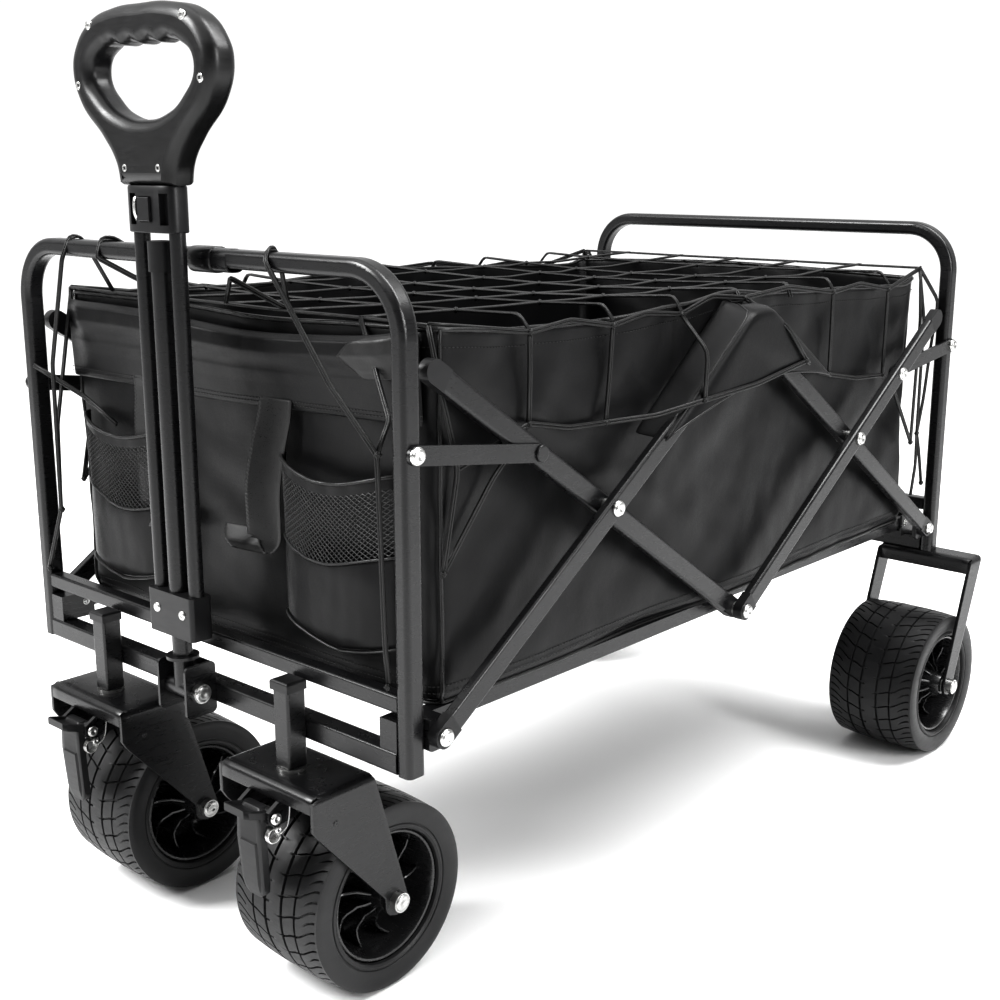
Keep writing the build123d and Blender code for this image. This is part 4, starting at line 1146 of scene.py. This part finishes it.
# top middle, then the hanging route as (x, out from the panel, z) in mm
STRAPS = {
    "right": ((72, 1.5, 526), (71, 4, 508), (66, 8, 480), (61, 11, 445), (59, 10, 415), (55, 8, 396), (45, 12, 386),
              (33, 13, 392), (26, 6, 404)),
    "left": ((-124, 1.5, 526), (-119, 3, 508), (-112, 9, 478), (-108, 12, 440), (-110, 9, 408), (-104, 7, 390),
             (-94, 11, 380), (-84, 13, 388), (-78, 6, 400)),
}


def webbing():
    """Ribbed lash straps sewn under the collar, each ending in a folded loop."""
    for name, route in STRAPS.items():
        line = smooth_path([(x * MM, FRONT - out * MM - 1.2 * MM, z * MM) for x, out, z in route], 24)
        length = [0.0]
        for a, b in zip(line, line[1:]):
            length.append(length[-1] + (b - a).length)
        count = int(length[-1] / STRAP_RIB)
        rows = []
        for i in range(count + 1):
            goal = length[-1] * i / count
            k = min(max(j for j in range(len(length)) if length[j] <= goal + 1e-9), len(line) - 2)
            share = (goal - length[k]) / max(1e-9, length[k + 1] - length[k])
            spot = line[k].lerp(line[k + 1], share)
            along = (line[k + 1] - line[k]).normalized()
            twist = 0.10 * math.sin(3 * i / count) + 0.9 * max(0.0, i / count - 0.78)
            across = Vector((math.cos(twist), math.sin(twist), 0)).normalized()
            out = along.cross(across).normalized()
            if out.y > 0:
                out = -out
            rib = (0.75 if i % 2 else -0.55) * MM
            row = []
            for c in range(13):
                u = 2 * c / 12 - 1
                rib_here = rib * (1 if abs(u) < 0.93 else 0.2)
                row.append(spot + across * u * STRAP_WIDE / 2 + out * (rib_here + 1.0 * MM * (1 - u * u) * 0.4))
            rows.append(row)
        strap = Shape()
        strap.grid(rows)
        fit(strap, f"lash_strap_{name}", "front_frame", "webbing", *(["webbing_straps"] if name == "right" else []),
            cloth=1.3 * MM)


# ---------------------------------------------------------------- cargo net
STRAND = 1.4 * MM                              # a strand's radius
PAIR = 1.3 * MM                                # half the distance between a pair's strands


def net_cord(shape, route, bend=5, across=(0, 0, 1), side=1):
    """Two strands side by side along a taut route."""
    line = taut_path([net_place(side, *p) for p in route], bend * MM)
    for sign in (-1, 1):
        moved = []
        for i, p in enumerate(line):
            ahead = line[min(i + 1, len(line) - 1)] - line[max(i - 1, 0)]
            aside = ahead.cross(Vector(across))
            aside = aside.normalized() if aside.length > 1e-4 * MM else Vector((1, 0, 0))
            moved.append(p + aside * sign * PAIR)
        shape.sweep(moved, ring(STRAND, 7))


def net_knot(shape, spot, size=4.6, side=1):
    """A small hard knot: three crossed turns."""
    for axis in ((1, 0.3, 0.2), (0.2, 1, -0.3), (-0.3, 0.2, 1)):
        direction = Vector(axis).normalized()
        aside = direction.orthogonal().normalized()
        other = direction.cross(aside)
        loop = [net_place(side, *spot) + (aside * c + other * s) * size * 0.45 * MM for c, s in turns(10)]
        shape.sweep(loop, ring(size * 0.27 * MM, 6), closed=True)


# knots on each side of the bag, in mm: distance behind the front hoop, then height and distance out from
# the bag's side, first along the rim and then along the edge cord
NET_KNOTS = (((147, 588, 3), (146, 511, 3)), ((259, 584, 3), (251, 498, 3)), ((363, 586, 3), (357, 509, 37)),
             ((470, 594, 4), (536, 528, 39)), ((648, 588, 3), (648, 498, 3)), ((775, 583, 3), (773, 484, 3)))
NET_LONG = (-178, -88, 0, 88, 178)             # the long cords' places across the bag
NET_Y = (147, 259, 363, 465, 560, 648, 775)    # the cross cords' places along it
NET_FRONT, NET_REAR = 37, 866                  # the end cords' places
SIDEWAYS = (1, 0, 0)


def net_top(x, y):
    """Height of the net over the bag, sagging between the rims."""
    across = 1 - (x / (BAG_X / MM)) ** 2
    along = math.sin(math.pi * (y - 34) / 834) ** 0.6 if 34 < y < 868 else 0.0
    return 603 - 9 * across * along


def net_drift(x, i):
    """How far a cross cord is pulled along the wagon, in mm."""
    return 9 * math.sin(2.1 * i) * (1 - (x / (BAG_X / MM)) ** 2) + 5 * math.sin(x / 60 + i)


def net_place(side, x, y, z):
    """Frame position of a net point given in mm: distance to one side, behind the front hoop, and height."""
    return Vector((side * x * MM, at(y), z * MM))


def net():
    """Elastic cargo net: square grid over the bag, hanging down both sides to an edge cord."""
    shape = Shape()
    edge_x = BAG_X / MM
    front_hook, rear_hook = (edge_x + 3, 42, 402), (edge_x + 4, 856, 392)
    front_rim, rear_rim = (edge_x - 6, NET_FRONT, 602), (edge_x - 3, NET_REAR, 602)
    for side in (-1, 1):
        rim = [front_rim]
        hem = [(edge_x + 3, 60, 486)]
        for (y0, z0, out0), (y1, z1, out1) in NET_KNOTS:
            top, foot = (edge_x + out0, y0, z0), (edge_x + out1, y1, z1)
            if out1 > 20:
                middle = (edge_x + out1 * 0.98, y0 + (y1 - y0) * 0.42, z0 - (z0 - z1) * 0.42)
            else:
                middle = (edge_x + out1 - 1, (y0 + y1) / 2 + 2, (z0 + z1) / 2)
            net_cord(shape, (top, middle, foot), 8, SIDEWAYS, side)
            net_knot(shape, top, side=side)
            net_knot(shape, foot, side=side)
            if len(rim) > 1:
                ahead = rim[-1]
                rim.append((edge_x + 1, (ahead[1] + y0) / 2, max(ahead[2], z0) + 5))
                ahead = hem[-1]
                hem.append(((ahead[0] + foot[0]) / 2, (ahead[1] + y1) / 2, (ahead[2] + z1) / 2 - 4))
            rim.append(top)
            hem.append(foot)
        rim.append(rear_rim)
        hem += [(edge_x + 4, 800, 466), rear_hook]
        net_cord(shape, rim, 6, SIDEWAYS, side)
        net_cord(shape, hem, 6, SIDEWAYS, side)
        for route in (((edge_x + 3, 146, 511), (edge_x + 3, 100, 470), front_hook),
                      (front_rim, (edge_x + 2, 40, 560), (edge_x + 3, 60, 486), front_hook),
                      (rear_rim, (edge_x + 3, 862, 540), rear_hook)):
            net_cord(shape, route, 8, SIDEWAYS, side)
        net_knot(shape, front_hook, side=side)
        net_knot(shape, rear_hook, side=side)
    for i, y in enumerate(NET_Y):
        points = [(x, y + net_drift(x, i), net_top(x, y)) for x in (-edge_x + 6, *NET_LONG, edge_x - 6)]
        points = [(-edge_x - 3, y, 589)] + points + [(edge_x + 3, y, 589)]
        net_cord(shape, points)
        for point in points[2:-2]:
            net_knot(shape, point, 4.2)
    for k, x in enumerate(NET_LONG):
        points = [(x, NET_FRONT, net_top(x, NET_FRONT))]
        for i, y in enumerate(NET_Y):
            points.append((x, y + net_drift(x, i), net_top(x, y)))
            if i + 1 < len(NET_Y):
                points.append((x + 5 * math.sin(1.9 * i + k), (y + NET_Y[i + 1]) / 2, net_top(x, y) - 1.5))
        points.append((x, NET_REAR, net_top(x, NET_REAR)))
        net_cord(shape, points)
    for y, bow in ((NET_FRONT, -3), (NET_REAR, 3)):
        net_cord(shape, [(x, y + bow * math.sin(x / 40), 602) for x in (-255, *NET_LONG, 255)], 6)
    fit(shape, "net_over_bag", "front_frame", "net_cord", "cargo_net", fold=True)


def front_net():
    """Cords that tie the net to the front hoop, over its top tube and down inside both uprights."""
    shape = Shape()
    over = HOOP_TOP / MM + 2.5
    routes = (
        ((88, 37, 602), (104, 15, 648), (112, 5, over), (116, -6, over), (119, -12, 648), (195, -13, 555),
         (248, -13, 506), (252, -12, 351), (254, -11, 322)),
        ((178, 37, 602), (240, 8, 530), (248, -13, 506)),
        ((-178, 37, 602), (-182, 14, 646), (-179, 5, over), (-180, -6, over), (-184, -13, 636), (-215, -13, 533),
         (-219, -13, 386), (-254, -11, 318)),
        ((-255, 37, 600), (-226, -6, 470), (-219, -13, 386)),
        ((-254, -11, 528), (-205, 12, 500), (-158, 18, 476)),
        ((-88, 37, 602), (-108, 15, 646), (-122, 5, over), (-126, -6, over), (-126, -12, 640), (-97, 8, 622),
         (-60, 37, 602)),
        ((0, 37, 602), (36, 16, 628), (88, 37, 602)),
    )
    for route in routes:
        net_cord(shape, route, 4, (0, 1, 0))
    for spot in ((248, -12, 506), (-219, -12, 386), (253, -11, 318), (-252, -11, 318)):
        net_knot(shape, spot, 5.0)
    fit(shape, "net_front_ties", "front_frame", "net_cord")


def rear_net():
    """Cords that fan from the bag's rear corners to the rear hoop's uprights."""
    shape = Shape()
    upright = (REAR_Y - HOOP_Y) / MM - 9
    knot, upper, lower = (258, 886, 398), (255, upright, 500), (255, upright, 330)
    for side in (-1, 1):
        for route in (((256, 868, 600), (262, 876, 540), knot), (knot, (258, 898, 440), upper),
                      (knot, (256, 900, 372), lower), (knot, (262, 880, 360), (262, 872, 322)),
                      (upper, (262, upright - 3, 560), (255, 872, 600))):
            net_cord(shape, route, 8, SIDEWAYS, side)
        for spot in (knot, upper, lower):
            net_knot(shape, spot, side=side)
    fit(shape, "net_rear_ties", "rear_frame", "net_cord")


# ---------------------------------------------------------------- floor, light and camera
CAMERA_PLACE = (1.0279, -1.17125, 0.7240)
CAMERA_DOWN = 13.472
CAMERA_YAW = 42.201
CAMERA_LENS = 50.63
BACKDROP_WAY = (-0.63, 0.70, 0.33)


def area_light(name, place, aim, size, power):
    light = bpy.data.lights.new(name, "AREA")
    light.shape = "RECTANGLE"
    light.size, light.size_y = size
    light.energy = power
    obj = new_object(name, light)
    obj.location = place
    obj.rotation_euler = (Vector(aim) - Vector(place)).to_track_quat("-Z", "Y").to_euler()


def studio():
    """Pale floor, even white surround, soft lights and the camera."""
    floor = Shape()
    floor.grid([[(-14, -14, 0), (14, -14, 0)], [(-14, 14, 0), (14, 14, 0)]])
    mat, nodes, links, shader = new_material("studio_floor")
    shade = noise_texture(nodes, links, coordinates(nodes, links), 0.6, 2.0)
    links.new(colours(nodes, links, shade, (0.93, 0.93), (0.95, 0.95)), shader.inputs["Base Color"])
    shader.inputs["Roughness"].default_value = 0.9
    shader.inputs["Specular IOR Level"].default_value = 0.1
    floor.piece("studio_floor", mat, smooth=False)
    world = bpy.data.worlds.new("studio")
    bpy.context.scene.world = world
    world.use_nodes = True
    nodes, links = world.node_tree.nodes, world.node_tree.links
    background = nodes["Background"]
    direction = add_node(nodes, "ShaderNodeTexCoord")
    facing = add_node(nodes, "ShaderNodeVectorMath", operation="DOT_PRODUCT")
    facing.inputs[1].default_value = BACKDROP_WAY
    links.new(direction.outputs["Generated"], facing.inputs[0])
    shade = spread(nodes, links, facing.outputs["Value"], 0.22, 1.06, 0.0, 0.70)
    path = add_node(nodes, "ShaderNodeLightPath")
    seen = add_node(nodes, "ShaderNodeMath", operation="MAXIMUM")
    links.new(shade, seen.inputs[0])
    links.new(path.outputs["Is Camera Ray"], seen.inputs[1])
    links.new(seen.outputs["Value"], background.inputs["Strength"])
    background.inputs["Color"].default_value = (1, 1, 1, 1)
    sun = bpy.data.lights.new("sun", "SUN")
    sun.energy = 2.3
    sun.angle = math.radians(75)
    lamp = new_object("sun", sun)
    lamp.rotation_euler = (math.radians(20), math.radians(-12), 0)
    area_light("key", (-1.4, -2.2, 2.2), (0, -0.2, 0.4), (0.7, 1.3), 130)
    area_light("top", (0.9, 0.6, 2.6), (0, 0, 0.4), (0.7, 2.0), 90)
    area_light("side", (3.0, 0.2, 1.5), (0.2, 0, 0.3), (0.6, 1.6), 70)
    camera = bpy.data.cameras.new("camera")
    camera.lens = CAMERA_LENS
    camera.sensor_width = 36
    obj = new_object("camera", camera)
    obj.location = CAMERA_PLACE
    obj.rotation_euler = (math.radians(90 - CAMERA_DOWN), 0, math.radians(CAMERA_YAW))
    bpy.context.scene.camera = obj
    bpy.context.scene.view_settings.view_transform = "Standard"
    bpy.context.scene.view_settings.gamma = 0.84


finish_nodes()
wheels()
grip()
latch_collar()
block_rivets()
hoop_keeper()
forks()
brakes()
for rivets, rivet_body in RIVETS.items():
    rivet_heads(rivets, rivet_body)
bag()
side_flaps()
front_collar()
pockets()
webbing()
net()
front_net()
rear_net()
studio()
